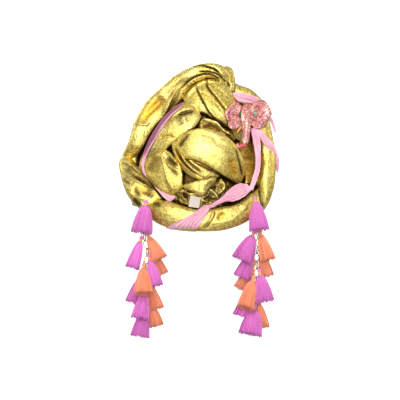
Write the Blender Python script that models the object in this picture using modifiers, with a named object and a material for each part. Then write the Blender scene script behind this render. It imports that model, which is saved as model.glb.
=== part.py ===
"""A ready-made turban: gold rolls wound in a ring round a soft hollow crown, a pleated knot and crumpled drapes
at the front, pink ribbons, an elephant brooch and two chains of tassels.

The wearer looks along -Y, +Z is up, and +X is on the right of someone who faces the wearer. The origin is the
middle of the head opening, in the plane of the crown's rim. Driving sizes are in metres. Tables are in
millimetres, and MM brings them to metres.
"""

import math

import bmesh
import bpy
import numpy as np
from mathutils.bvhtree import BVHTree

MM = 0.001

# The crown is an egg cut level at its rim
CROWN_HALF_WIDTH = 0.099
CROWN_HALF_DEPTH = 0.104
CROWN_HALF_HEIGHT = 0.152
CROWN_MIDDLE = 0.060
CROWN_WALL = 0.0025
CROWN_PLEATS = 6
PLEAT_DEPTH = 0.060
PLEAT_REACH = 0.8
CUTTER_DROP = 0.03

# The ring of rolls leans back as it climbs, and its sides sweep back round the head
RING_FRONT = 0.111
RING_LEAN = 0.30
RING_SWEEP = 3.0

# The plain roll round the nape
NAPE_HEIGHT = 0.027
NAPE_HALF_HEIGHT = 0.016
NAPE_HALF_DEPTH = 0.0085
NAPE_REACH = math.radians(118)
NAPE_SEAT = 0.0030
NAPE_END = 0.55
NAPE_ALONG = 15

# Clearances, and how finely the shapes are made
GAP = 0.00035
EDGE_EASE = 0.003
FLAT_ANGLE = math.radians(1.0)
SWATHE_ALONG = 9
SWATHE_AROUND = 8
RIBBON_ALONG = 7
RIBBON_AROUND = 6
CROWN_AROUND = 24
CROWN_LEVELS = 6

# Chains: a link's outer size, its wire, and how far apart the links' middles are
LINK_LENGTH = 0.0146
LINK_WIDTH = 0.0098
LINK_WIRE = 0.0008
LINK_PITCH = 0.0121
LINK_FACING = (0.35, 1.0, 0.0)
LINK_SIDES = 10
WIRE_SIDES = 5

# Tassels
TASSEL_SIDES = 10
TASSEL_FLATNESS = 0.62
LOCK_DEPTH = 0.10
LOCK_TIP = 0.0016

# The brooch lies in a plane that turns a little to the right and leans back
BROOCH_FRONT = 0.0955
BROOCH_TURN = 0.30
BROOCH_LEAN = 0.10
BROOCH_MIDDLE = (0.060, 0.150)
PIN_RADIUS = 0.0008
PIN_LENGTH = 0.052
PIN_MIDDLE = (80, 158)

COLOURS = {
    "gold": ((0.62, 0.50, 0.13), 0.32, 1.0),
    "pink": ((0.93, 0.48, 0.63), 0.75, 0.0),
    "orchid": ((0.80, 0.23, 0.68), 0.80, 0.0),
    "peach": ((1.00, 0.42, 0.26), 0.80, 0.0),
    "chain": ((0.95, 0.66, 0.30), 0.25, 1.0),
    "rose": ((0.86, 0.36, 0.42), 0.35, 0.3),
    "teal": ((0.02, 0.22, 0.22), 0.05, 0.0),
    "label": ((0.90, 0.88, 0.86), 0.80, 0.0),
}

# A swathe's rows run along it. Each row gives its two edges as seen from the front, how far its middle stands
# proud of what it lies on, and half its thickness.
# columns: edge A across, up, edge B across, up, proud, half thickness
ROLL_OVER = (
    (-122, 75, -91, 75, 0, 14),
    (-122, 91, -93, 88, 0, 16),
    (-116, 107, -85, 104, 0, 24),
    (-110, 123, -75, 117, 2, 28),
    (-102, 152, -63, 140, 4, 28),
    (-84, 179, -49, 160, 4, 26),
    (-63, 200, -33, 184, 6, 24),
    (-41, 221, -18, 200, 10, 22),
    (-12, 238, -3, 218, 18, 20),
    (12, 244, 17, 225, 22, 18),
    (31, 242, 34, 219, 22, 18),
    (46, 232, 45, 205, 16, 16),
)
KNOB = (
    (38, 238, 50, 238, 12, 10),
    (36, 229, 57, 230, 14, 15),
    (38, 216, 60, 216, 16, 16),
    (42, 203, 60, 203, 18, 14),
    (47, 192, 57, 192, 16, 9),
)
ROLL_RIGHT = (
    (49, 219, 46, 190, -4, 14),
    (68, 210, 58, 179, 0, 20),
    (87, 202, 73, 171, 2, 24),
    (106, 184, 82, 155, 2, 26),
    (114, 160, 86, 139, 2, 28),
    (121, 131, 92, 117, 2, 28),
    (126, 101, 98, 92, 2, 28),
    (126, 72, 98, 71, 2, 28),
    (124, 50, 94, 50, 2, 26),
    (118, 27, 98, 30, 0, 22),
    (106, 6, 94, 16, -4, 14),
)
ROLL_LEFT = (
    (-122, 88, -105, 91, 4, 14),
    (-126, 77, -102, 82, 8, 20),
    (-122, 59, -89, 67, 8, 24),
    (-118, 43, -78, 54, 8, 24),
    (-108, 26, -66, 42, 8, 22),
    (-92, 10, -57, 30, 4, 20),
    (-76, 4, -52, 24, 0, 14),
)
ROLL_LOWER = (
    (-98, 14, -82, 27, -4, 12),
    (-87, 3, -73, 19, 0, 15),
    (-71, -8, -57, 23, 0, 18),
    (-52, -18, -41, 21, 2, 20),
    (-25, -24, -18, 14, 2, 20),
    (0, -26, 2, 9, 2, 19),
    (20, -26, 20, 10, 2, 19),
    (39, -24, 39, 14, 2, 20),
    (60, -18, 58, 19, 2, 21),
    (79, -8, 73, 27, 2, 22),
    (95, 0, 86, 38, 2, 20),
    (103, 11, 95, 46, 0, 16),
    (103, 27, 100, 51, -4, 10),
)
FRONT_KNOT = (
    (-26, 187, -13, 206, 14, 8),
    (-15, 174, 10, 220, 18, 11),
    (-2, 163, 34, 220, 20, 13),
    (14, 150, 52, 199, 21, 13),
    (31, 138, 62, 178, 19, 13),
    (50, 125, 76, 155, 14, 10),
    (68, 115, 86, 136, 8, 8),
)
CRUMPLE = (
    (-1, 134, 2, 146, 8, 6),
    (10, 131, 14, 152, 11, 9),
    (25, 126, 28, 147, 12, 9),
    (39, 122, 42, 136, 12, 8),
    (57, 115, 60, 125, 8, 5),
)
DRAPE_LEFT = (
    (-18, 182, 1, 165, 8, 7),
    (-31, 168, 6, 154, 12, 10),
    (-47, 154, -2, 139, 13, 11),
    (-63, 133, -18, 128, 13, 11),
    (-74, 114, -36, 115, 12, 10),
    (-81, 96, -54, 99, 9, 8),
    (-84, 78, -71, 83, 5, 5),
)
DRAPE_LOBE = (
    (-82, 88, -63, 101, 8, 6),
    (-82, 72, -44, 101, 12, 10),
    (-76, 56, -30, 88, 14, 12),
    (-65, 43, -22, 69, 15, 12),
    (-50, 35, -22, 50, 13, 10),
    (-38, 30, -25, 37, 9, 6),
)
DRAPE_CENTER = (
    (-33, 104, -30, 126, 12, 7),
    (-22, 90, -12, 133, 16, 12),
    (-1, 85, 12, 138, 18, 14),
    (18, 75, 38, 130, 18, 14),
    (36, 64, 57, 114, 17, 13),
    (52, 54, 70, 91, 14, 11),
    (65, 46, 74, 66, 9, 7),
)
DRAPE_FOLD = (
    (-42, 120, -25, 120, 10, 7),
    (-38, 101, -22, 99, 13, 9),
    (-31, 83, -9, 90, 13, 9),
    (-20, 67, 10, 82, 12, 9),
    (-2, 56, 26, 72, 11, 8),
    (17, 54, 39, 62, 8, 6),
)
DRAPE_RIGHT = (
    (65, 132, 88, 136, 3, 6),
    (65, 117, 90, 120, 4, 7),
    (65, 101, 92, 104, 6, 8),
    (70, 80, 94, 83, 7, 9),
    (73, 61, 90, 62, 7, 8),
    (73, 46, 84, 46, 5, 6),
)
DRAPE_LOWER = (
    (-25, 43, -20, 53, 12, 5),
    (-7, 37, -4, 58, 15, 9),
    (10, 35, 14, 61, 15, 9),
    (25, 50, 28, 64, 11, 6),
)
GATHERS = (
    (-50, 27, -41, 43, 4, 5),
    (-31, 16, -25, 46, 7, 8),
    (-9, 8, -6, 40, 8, 9),
    (14, 8, 15, 43, 8, 9),
    (33, 13, 34, 59, 8, 9),
    (52, 21, 55, 51, 5, 7),
)
RIBBON_LEFT = (
    (-25, 186, -15, 178, 14, 2),
    (-44, 173, -34, 163, 12, 2),
    (-60, 157, -49, 150, 9, 2),
    (-75, 134, -63, 128, 8, 2),
    (-87, 110, -76, 106, 8, 2),
    (-94, 88, -83, 85, 10, 2),
    (-92, 69, -82, 70, 14, 2),
    (-79, 50, -73, 54, 18, 2),
)
RIBBON_PEEK = (
    (-70, 46, -60, 51, 20, 2),
    (-60, 35, -49, 45, 20, 2),
    (-52, 26, -41, 38, 18, 2),
    (-44, 19, -34, 29, 14, 2),
)
RIBBON_WRAP = (
    (9, 15, 23, 15, 116, 1.5),
    (-2, 6, 18, 7, 133, 1.5),
    (-20, -5, 10, -6, 138, 1.5),
    (-38, -13, 2, -18, 134, 1.5),
    (-50, -19, -2, -25, 122, 1.5),
    (-48, -21, -4, -26, 108, 1.5),
)
RIBBON_FAN = (
    (86, 40, 79, 50, 102, 2.0),
    (73, 29, 65, 50, 113, 2.5),
    (58, 22, 50, 40, 121, 2.5),
    (44, 21, 39, 29, 125, 2.0),
    (26, 13, 23, 18, 127, 1.5),
    (14, 10, 12, 14, 122, 1.2),
)
RIBBON_DROP = (
    (82, 139, 97, 142, 84, 2),
    (87, 120, 102, 123, 84, 2),
    (90, 96, 103, 99, 86, 2),
    (89, 75, 100, 75, 91, 2),
    (86, 58, 94, 56, 97, 2),
    (81, 43, 87, 38, 103, 2),
)
RIBBON_LOOP = (
    (55, 183, 54, 195, 76, 2.0),
    (70, 179, 71, 195, 78, 3.0),
    (84, 178, 87, 192, 75, 3.0),
    (98, 176, 102, 185, 70, 2.5),
    (105, 170, 109, 177, 65, 2.0),
)
TAIL_UPPER = (
    (103, 172, 108, 176, 66, 1.0),
    (111, 159, 115, 162, 66, 1.0),
    (118, 147, 122, 150, 64, 1.0),
    (124, 131, 127, 133, 60, 0.8),
)
TAIL_LOWER = (
    (95, 134, 102, 140, 84, 1.5),
    (106, 118, 113, 126, 78, 1.5),
    (116, 104, 124, 110, 70, 1.5),
    (122, 88, 130, 94, 60, 1.5),
    (127, 70, 134, 75, 50, 1.2),
)

# Fold lines as seen from the front. A positive push is a ridge, and a negative one is a dent.
# columns: start across, up, end across, up, half width, push
FOLDS = {
    "roll_over": (
        (-101, 140, -62, 178, 9, -6),
        (-86, 142, -34, 198, 5, 4),
        (-30, 212, 30, 230, 6, -3),
    ),
    "roll_left": ((-100, 52, -72, 36, 8, -5), (-122, 70, -60, 26, 5, 4)),
    "roll_lower": ((28, 8, 12, -20, 5, -4),),
    "roll_right": ((112, 40, 104, 100, 7, -4),),
    "front_knot": ((-4, 204, 28, 158, 4, -3.5), (18, 210, 46, 170, 4, -3.5)),
    "drape_left": ((-36, 166, -16, 144, 6, -4),),
    "drape_lobe": ((-56, 98, -42, 44, 6, 4),),
    "drape_center": ((2, 96, 44, 74, 8, -3),),
    "drape_lower": ((2, 38, 3, 58, 3, -2),),
    "drape_fold": ((-26, 112, 4, 62, 4, -3),),
}

# Chains, from the roll that carries them down
# columns: across, out, up
CHAIN_LEFT = (
    (-82, -103.4, 8),
    (-84, -107, -14),
    (-85, -107, -34),
    (-79, -106, -60),
    (-84, -106, -86),
    (-80, -106, -115),
    (-83, -105, -151),
)
CHAIN_RIGHT = (
    (93, -100, 11),
    (94, -99, -10),
    (95, -99, -31),
    (98, -98, -42),
    (94, -98, -64),
    (95, -98, -86),
    (91, -98, -112),
    (93, -98, -147),
)

# Tassels. Each hangs from its bead on the chain and leans away to its hem.
# columns: colour, bead across, out, up, hem across, out, up, half width
TASSELS_LEFT = (
    ("orchid", -81, -112, 24, -89, -124, -28, 18),
    ("orchid", -88, -109.8, -33, -104, -114, -84, 12),
    ("peach", -81, -107.5, -28, -59, -118, -70, 13),
    ("peach", -76.5, -104, -50, -57, -96, -95, 12),
    ("orchid", -77.5, -110, -62, -65, -126, -112, 12),
    ("peach", -85, -111, -76, -85, -136, -124, 16),
    ("orchid", -88, -104, -92, -103, -96, -140, 13),
    ("peach", -78, -104, -102, -64, -98, -150, 12),
    ("orchid", -83, -109.2, -116, -92, -122, -164, 15),
    ("peach", -78, -102, -130, -65, -90, -177, 12),
    ("orchid", -84, -104, -146, -92, -100, -194, 16),
)
TASSELS_RIGHT = (
    ("orchid", 91, -103, 30, 98, -120, -24, 17),
    ("orchid", 91.5, -103, -25, 70, -112, -72, 18),
    ("peach", 98.5, -100.8, -23, 112, -110, -72, 13),
    ("orchid", 90.6, -98.2, -54, 70, -90, -100, 15),
    ("peach", 100, -96, -52, 111, -88, -98, 12),
    ("orchid", 98, -101.8, -86, 108, -114, -138, 15),
    ("peach", 90.4, -102.4, -96, 75, -124, -147, 15),
    ("peach", 92.4, -97.2, -73.5, 68, -80, -118, 12),
    ("orchid", 88, -100, -116, 73, -100, -163, 19),
    ("orchid", 92, -100, -142, 83, -114, -190, 20),
    ("peach", 95.8, -97, -132, 105, -84, -180, 12),
)
# columns: below the bead's top, radius
TASSEL_HEAD = ((0.0, 1.2), (2.8, 3.5), (6.8, 2.3), (10.0, 3.3))
# columns: share of the length, share of the hem's half width
TASSEL_SKIRT = ((0.45, 0.62), (1.0, 1.0))

# The brooch, as seen from the front
# columns: across, up
EAR_LEFT = (
    (74, 170), (66, 179), (60, 181), (50, 173), (43, 160),
    (48, 150), (49, 142), (56, 136), (68, 140), (76, 156),
)
EAR_RIGHT = (
    (84, 170), (92, 180), (100, 184), (110, 181), (119, 163),
    (114, 155), (111, 145), (102, 138), (90, 140), (82, 156),
)
HEAD = (
    (69, 170), (74, 177), (80, 179), (87, 175), (92, 163),
    (89, 149), (84, 140), (76, 137), (69, 144), (66, 158),
)
# columns: relief, share of the outline
EAR_RELIEF = ((-1.5, 0.98), (1.2, 1.0), (3.2, 0.78), (1.8, 0.4))
HEAD_RELIEF = ((-1.1, 0.94), (3.0, 1.0), (6.8, 0.72), (8.4, 0.34))
# columns: across, up, relief, radius
TRUNK = (
    (79, 152, 2.5, 7.5),
    (78, 143, 4.0, 7.0),
    (77, 133, 4.0, 5.8),
    (77, 123, 4.0, 4.8),
    (74, 114, 4.0, 4.0),
    (67, 110, 4.5, 3.4),
    (61, 113, 5.0, 2.8),
)
TUSK = ((71, 142, 3.5, 2.6), (67, 137, 4.0, 2.4), (63, 131, 4.6, 1.1))
# columns: across, up
EYES = {"brooch_eye_left": (68, 160), "brooch_eye_right": (92, 162)}
# columns: relief, share of the girdle
STONE = ((2.2, 0.55), (4.6, 1.0), (5.2, 1.0), (6.6, 0.58))
STONE_HALF_WIDTH = 0.0031
STONE_HALF_HEIGHT = 0.0042
STONE_SIDES = 8
TRUNK_SIDES = 7

LABEL_SIZE = (0.0170, 0.0008, 0.0180)
LABEL_MIDDLE = (-0.0045, -0.1190, 0.0208)
LABEL_LEAN = math.radians(-14)


def crown_front(x, z, lift):
    """The Y of the crown's front over (x, z), with the crown grown by lift."""
    left = 1 - (x / (CROWN_HALF_WIDTH + lift)) ** 2
    left -= ((z - CROWN_MIDDLE) / (CROWN_HALF_HEIGHT + lift)) ** 2
    return -(CROWN_HALF_DEPTH + lift) * np.sqrt((left + np.sqrt(left**2 + EDGE_EASE)) / 2)


def ring_front(x, z, lift):
    """The Y of the middle of the ring of rolls over (x, z), moved forward by lift."""
    return -RING_FRONT + RING_LEAN * z + RING_SWEEP * x**2 - lift


def world_front(x, z, lift):
    """The Y of a point that stands lift in front of the origin."""
    return -lift + 0 * x


def spread(rows, count):
    """Reads a table at evenly spaced stations of a smooth curve through its rows."""
    rows = np.array(rows, float)
    ends = np.vstack([2 * rows[0] - rows[1], rows, 2 * rows[-1] - rows[-2]])
    stations = np.linspace(0, len(rows) - 1, count)
    first = np.minimum(stations.astype(int), len(rows) - 2)
    t = (stations - first)[:, None]
    a, b, c, d = (ends[first + k] for k in range(4))
    return 0.5 * (2 * b + (c - a) * t + (2 * a - 5 * b + 4 * c - d) * t**2 + (3 * b - a - 3 * c + d) * t**3)


def unit(vectors):
    return vectors / np.maximum(np.linalg.norm(vectors, axis=-1, keepdims=True), 1e-12)


def fold_push(points, folds):
    """How far each point is pushed out by the fold lines, by its distance from them as seen from the front."""
    push = np.zeros(points.shape[:-1])
    flat = points[..., [0, 2]]
    for x0, z0, x1, z1, half_width, depth in np.array(folds, float).reshape(-1, 6) * MM:
        start = np.array([x0, z0])
        run = np.array([x1 - x0, z1 - z0])
        along = ((flat - start) @ run) / (run @ run)
        near = np.clip(along, 0, 1)
        away = np.linalg.norm(flat - start - near[..., None] * run, axis=-1)
        push += depth * np.exp(-((away / half_width) ** 2)) * (0.3 + 0.7 * np.sin(np.pi * near))
    return push


def loft(rings):
    """A closed mesh through rings of equally many points, its ends closed by flat faces, facing out."""
    count, sides = rings.shape[:2]
    points = rings.reshape(-1, 3)
    faces = []
    for i in range(count - 1):
        for j in range(sides):
            k = (j + 1) % sides
            faces.append((i * sides + j, i * sides + k, (i + 1) * sides + k))
            faces.append((i * sides + j, (i + 1) * sides + k, (i + 1) * sides + j))
    last = (count - 1) * sides
    for j in range(1, sides - 1):
        faces.append((0, j + 1, j))
        faces.append((last, last + j, last + j + 1))
    if volume(points, faces) < 0:
        faces = [face[::-1] for face in faces]
    return points, faces


def volume(points, faces):
    total = 0.0
    for face in faces:
        for i in range(1, len(face) - 1):
            total += np.linalg.det(points[[face[0], face[i], face[i + 1]]])
    return total / 6


def swathe(name, rows, seat, along=SWATHE_ALONG, around=SWATHE_AROUND, follow=0.0, grow=0.0):
    """A band or roll of cloth through its table's rows. Its edges follow what it lies on by the share follow."""
    rows = spread(rows, along) * MM
    ax, az, bx, bz, proud, deep = rows.T
    middle_y = seat((ax + bx) / 2, (az + bz) / 2, proud)
    a_y = middle_y + follow * (seat(ax, az, proud) - middle_y)
    b_y = middle_y + follow * (seat(bx, bz, proud) - middle_y)
    a = np.stack([ax, a_y, az], axis=1)
    b = np.stack([bx, b_y, bz], axis=1)
    middle = (a + b) / 2
    across = (b - a) / 2
    tangent = unit(np.gradient(middle, axis=0))
    normal = unit(np.cross(tangent, across))
    normal *= np.where(normal[:, 1] > 0, -1.0, 1.0)[:, None]
    turn = 2 * np.pi * np.arange(around) / around
    beside = np.cos(turn)[None, :, None]
    outward = np.sin(turn)[None, :, None]
    rings = middle[:, None] + across[:, None] * beside + (normal * deep[:, None])[:, None] * outward
    push = fold_push(rings, FOLDS.get(name, ())) * np.clip(np.sin(turn), 0, 1)
    rings += normal[:, None] * push[..., None]
    rings += grow * (unit(across)[:, None] * beside + normal[:, None] * outward)
    rings[0] -= tangent[0] * grow
    rings[-1] += tangent[-1] * grow
    return loft(rings)


def nape_roll(grow=0.0):
    """The plain roll round the back of the head."""
    angles = np.linspace(-NAPE_REACH, NAPE_REACH, NAPE_ALONG)
    level = math.sqrt(1 - ((NAPE_HEIGHT + NAPE_HALF_HEIGHT - CROWN_MIDDLE) / CROWN_HALF_HEIGHT) ** 2)
    outward = unit(np.stack([np.sin(angles), np.cos(angles), 0 * angles], axis=1))
    middle = np.stack(
        [
            (CROWN_HALF_WIDTH * level + NAPE_SEAT) * np.sin(angles),
            (CROWN_HALF_DEPTH * level + NAPE_SEAT) * np.cos(angles),
            NAPE_HEIGHT + 0 * angles,
        ],
        axis=1,
    )
    taper = NAPE_END + (1 - NAPE_END) * np.sqrt(np.cos(angles / NAPE_REACH * np.pi / 2).clip(0))
    turn = 2 * np.pi * np.arange(SWATHE_AROUND) / SWATHE_AROUND
    rings = (
        middle[:, None, :]
        + outward[:, None, :] * np.sin(turn)[None, :, None] * (NAPE_HALF_DEPTH + grow)
        + np.array([0, 0, 1.0]) * (np.cos(turn)[None, :] * (NAPE_HALF_HEIGHT * taper + grow)[:, None])[..., None]
    )
    return loft(rings)


def crown_rings(grow):
    """Level rings of the crown's outer side, from the rim to the top."""
    top = CROWN_MIDDLE + CROWN_HALF_HEIGHT
    heights = top * np.sin(np.linspace(0, np.pi / 2, CROWN_LEVELS + 1)[:-1])
    turn = 2 * np.pi * np.arange(CROWN_AROUND) / CROWN_AROUND
    backward = np.clip(np.sin(turn), 0, 1)
    rings = []
    for height in heights:
        level = math.sqrt(1 - ((height - CROWN_MIDDLE) / CROWN_HALF_HEIGHT) ** 2)
        low = np.clip(1 - height / (PLEAT_REACH * top), 0, 1)
        pleat = 1 - PLEAT_DEPTH * low * backward * (0.5 + 0.5 * np.cos(2 * CROWN_PLEATS * turn))
        rings.append(
            np.stack(
                [
                    (CROWN_HALF_WIDTH * level * pleat + grow) * np.cos(turn),
                    (CROWN_HALF_DEPTH * level * pleat + grow) * np.sin(turn),
                    height + grow + 0 * turn,
                ],
                axis=1,
            )
        )
    return np.array(rings)


def crown_solid(grow=0.0):
    """The crown filled in, from below its rim, which the cloth round it is cut by."""
    rings = crown_rings(grow)
    below = rings[0].copy()
    below[:, 2] = -CUTTER_DROP
    return loft(np.concatenate([below[None], rings]))


def crown_shell(collection):
    """The hollow crown: an open surface with a wall."""
    rings = crown_rings(0.0)
    mesh = bmesh.new()
    levels = [[mesh.verts.new(point) for point in ring] for ring in rings]
    for lower, upper in zip(levels, levels[1:]):
        for j in range(CROWN_AROUND):
            k = (j + 1) % CROWN_AROUND
            mesh.faces.new((lower[j], lower[k], upper[k], upper[j]))
    tip = mesh.verts.new((0, 0, CROWN_MIDDLE + CROWN_HALF_HEIGHT))
    for j in range(CROWN_AROUND):
        mesh.faces.new((levels[-1][j], levels[-1][(j + 1) % CROWN_AROUND], tip))
    data = bpy.data.meshes.new("crown_shell")
    mesh.to_mesh(data)
    mesh.free()
    shell = bpy.data.objects.new("crown_shell", data)
    collection.objects.link(shell)
    wall = shell.modifiers.new("wall", "SOLIDIFY")
    wall.thickness = CROWN_WALL
    wall.offset = -1
    return shell


def chain(path):
    """Oval links threaded through each other along the path, every other one turned a quarter, in two groups."""
    dense = spread(path, 200) * MM
    steps = np.linalg.norm(np.diff(dense, axis=0), axis=1)
    reach = np.concatenate([[0], np.cumsum(steps)])
    count = round(reach[-1] / LINK_PITCH)
    joints = np.linspace(0, reach[-1], count + 1)
    joints = np.stack([np.interp(joints, reach, dense[:, k]) for k in range(3)], axis=1)
    groups = ([], [])
    for index in range(count):
        middle = (joints[index] + joints[index + 1]) / 2
        down = unit(joints[index + 1] - joints[index])
        side = unit(np.cross(down, LINK_FACING))
        if index % 2:
            side = np.cross(down, side)
        groups[index % 2].append((middle, down, side))
    return groups


def link_mesh(middle, down, side, grow=0.0):
    """One oval link of round wire, as points and faces."""
    out = np.cross(down, side)
    points = []
    for i in range(LINK_SIDES):
        turn = 2 * math.pi * (i + 0.5) / LINK_SIDES
        half_length = LINK_LENGTH / 2 - LINK_WIRE
        half_width = LINK_WIDTH / 2 - LINK_WIRE
        centre = middle + down * math.cos(turn) * half_length + side * math.sin(turn) * half_width
        away = unit(down * math.cos(turn) * half_width + side * math.sin(turn) * half_length)
        for j in range(WIRE_SIDES):
            roll = 2 * math.pi * j / WIRE_SIDES
            points.append(centre + (away * math.cos(roll) + out * math.sin(roll)) * (LINK_WIRE + grow))
    faces = []
    for i in range(LINK_SIDES):
        for j in range(WIRE_SIDES):
            i2 = (i + 1) % LINK_SIDES
            j2 = (j + 1) % WIRE_SIDES
            faces.append(
                (i * WIRE_SIDES + j, i * WIRE_SIDES + j2, i2 * WIRE_SIDES + j2, i2 * WIRE_SIDES + j)
            )
    points = np.array(points)
    if volume(points, faces) < 0:
        faces = [face[::-1] for face in faces]
    return points, faces


def joined(meshes):
    """Several meshes as one list of points and one of faces."""
    points, faces, start = [], [], 0
    for some_points, some_faces in meshes:
        points.append(some_points)
        faces += [tuple(index + start for index in face) for face in some_faces]
        start += len(some_points)
    return np.concatenate(points), faces


def chain_solid(path, grow=0.0):
    """The chain's links fused into one body."""
    even, odd = chain(path)
    first = raw_object("links_a", *joined([link_mesh(*link, grow) for link in even]))
    second = raw_object("links_b", *joined([link_mesh(*link, grow) for link in odd]))
    return combine(first, [second], "UNION")


def tassel(row, grow=0.0):
    """A bead, its neck and binding, and a skirt of locks that ends in pointed tips."""
    bead = np.array(row[1:4]) * MM
    hem = np.array(row[4:7]) * MM
    half_width = row[7] * MM
    length = np.linalg.norm(hem - bead)
    down = (hem - bead) / length
    side = unit(np.cross(down, [0.0, -1.0, 0.0]))
    out = np.cross(down, side)
    turn = 2 * np.pi * np.arange(TASSEL_SIDES) / TASSEL_SIDES
    lock = np.where(np.arange(TASSEL_SIDES) % 2 == 0, 1.0, 1.0 - LOCK_DEPTH)
    stations = [(below * MM, radius * MM, radius * MM, 0.0) for below, radius in TASSEL_HEAD]
    for share, width in TASSEL_SKIRT:
        wide = half_width * width
        stations.append((length * share, wide, wide * TASSEL_FLATNESS, share))
    rings = []
    for below, wide, deep, ragged in stations:
        locks = 1 + ragged * (lock - 1)
        ring = (
            bead
            + down * below
            + side * (np.cos(turn) * (wide * locks + grow))[:, None]
            + out * (np.sin(turn) * (deep * locks + grow))[:, None]
        )
        rings.append(ring)
    rings[-1] = rings[-1] + down * (np.where(lock == 1, 0.0, -LOCK_TIP))[:, None]
    rings[0] = rings[0] - down * grow
    rings[-1] = rings[-1] + down * grow
    return loft(np.array(rings))


def brooch_point(across, up, relief):
    """A point of the brooch from its place as seen from the front and its height above the plate."""
    x, z = across * MM, up * MM
    plate = -BROOCH_FRONT + BROOCH_TURN * (x - BROOCH_MIDDLE[0]) + BROOCH_LEAN * (z - BROOCH_MIDDLE[1])
    return np.array([x, plate - relief * MM, z])


def plate(outline, relief_rows, grow=0.0):
    """A raised plate: its outline at each height of the relief, drawn in as it rises."""
    outline = np.array(outline, float)
    centre = outline.mean(axis=0)
    rings = []
    for relief, share in relief_rows:
        ring = centre + (outline - centre) * share
        away = unit(outline - centre) * grow / MM
        height = relief + (grow / MM if relief > 0 else -grow / MM)
        rings.append([brooch_point(x, z, height) for x, z in ring + away])
    return loft(np.array(rings))


def limb(rows, sides, along, grow=0.0):
    """A round tapered limb of the brooch through the rows of its table."""
    rows = spread(rows, along)
    middle = np.array([brooch_point(x, z, relief) for x, z, relief, _ in rows])
    radius = rows[:, 3] * MM + grow
    tangent = unit(np.gradient(middle, axis=0))
    side = unit(np.cross(tangent, [0.0, 1.0, 0.0]))
    out = np.cross(tangent, side)
    turn = 2 * np.pi * np.arange(sides) / sides
    rings = middle[:, None, :] + radius[:, None, None] * (
        side[:, None, :] * np.cos(turn)[None, :, None] + out[:, None, :] * np.sin(turn)[None, :, None]
    )
    return loft(rings)


def brooch_solid(grow=0.0):
    """The head, ears and trunk of the brooch, fused."""
    head = raw_object("head", *plate(HEAD, HEAD_RELIEF, grow))
    others = [
        raw_object("ear_left", *plate(EAR_LEFT, EAR_RELIEF, grow)),
        raw_object("ear_right", *plate(EAR_RIGHT, EAR_RELIEF, grow)),
        raw_object("trunk", *limb(TRUNK, TRUNK_SIDES, 8, grow)),
    ]
    return combine(head, others, "UNION")


def stone(centre, grow=0.0):
    """A cut stone: a table, eight crown facets, a girdle and a pavilion that sits in the head."""
    turn = 2 * np.pi * (np.arange(STONE_SIDES) + 0.5) / STONE_SIDES
    rings = []
    for relief, share in STONE:
        height = relief + (grow / MM if relief > STONE[1][0] else -grow / MM)
        rings.append(
            [
                brooch_point(
                    centre[0] + math.cos(t) * (STONE_HALF_WIDTH * share + grow) / MM,
                    centre[1] + math.sin(t) * (STONE_HALF_HEIGHT * share + grow) / MM,
                    height,
                )
                for t in turn
            ]
        )
    return loft(np.array(rings))


def pin_solid(grow=0.0):
    """The hidden pin behind the brooch."""
    half = PIN_LENGTH / 2 + grow
    across, up = PIN_MIDDLE
    behind = EAR_RELIEF[0][0] - (PIN_RADIUS + GAP) / MM
    rows = [(across + step * half / MM, up, behind, PIN_RADIUS / MM) for step in (-1, 0, 1)]
    return limb(rows, 6, 3, grow)


def label_solid(grow=0.0):
    """A bare woven label that leans back against the cloth."""
    sx, sy, sz = (size / 2 + grow for size in LABEL_SIZE)
    rings = []
    for z in (-sz, sz):
        ring = []
        for x, y in ((-sx, -sy), (sx, -sy), (sx, sy), (-sx, sy)):
            lean_y = y * math.cos(LABEL_LEAN) - z * math.sin(LABEL_LEAN)
            lean_z = y * math.sin(LABEL_LEAN) + z * math.cos(LABEL_LEAN)
            ring.append((LABEL_MIDDLE[0] + x, LABEL_MIDDLE[1] + lean_y, LABEL_MIDDLE[2] + lean_z))
        rings.append(ring)
    return loft(np.array(rings))


def raw_object(name, points, faces):
    """An object made of these points and faces, not yet in a collection of the turban's."""
    data = bpy.data.meshes.new(name)
    data.from_pydata([tuple(point) for point in points], [], faces)
    data.update()
    thing = bpy.data.objects.new(name, data)
    bpy.context.scene.collection.objects.link(thing)
    return thing


def remove(thing):
    data = thing.data
    bpy.data.objects.remove(thing)
    bpy.data.meshes.remove(data)


def combine(thing, others, operation):
    """Applies one Boolean for each of the others and removes them."""
    for other in others:
        boolean = thing.modifiers.new(other.name, "BOOLEAN")
        boolean.operation = operation
        boolean.solver = "MANIFOLD"
        boolean.object = other
    bpy.context.view_layer.update()
    graph = bpy.context.evaluated_depsgraph_get()
    shape = bpy.data.meshes.new_from_object(thing.evaluated_get(graph))
    old = thing.data
    thing.modifiers.clear()
    thing.data = shape
    bpy.data.meshes.remove(old)
    for other in others:
        remove(other)
    keep_largest(thing)
    return thing


def geometry(thing):
    points = [vertex.co.copy() for vertex in thing.data.vertices]
    faces = [tuple(face.vertices) for face in thing.data.polygons]
    return points, faces


def crosses(first, second):
    """Whether the surfaces of two objects meet."""
    trees = [BVHTree.FromPolygons(*geometry(thing)) for thing in (first, second)]
    return bool(trees[0].overlap(trees[1]))


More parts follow.
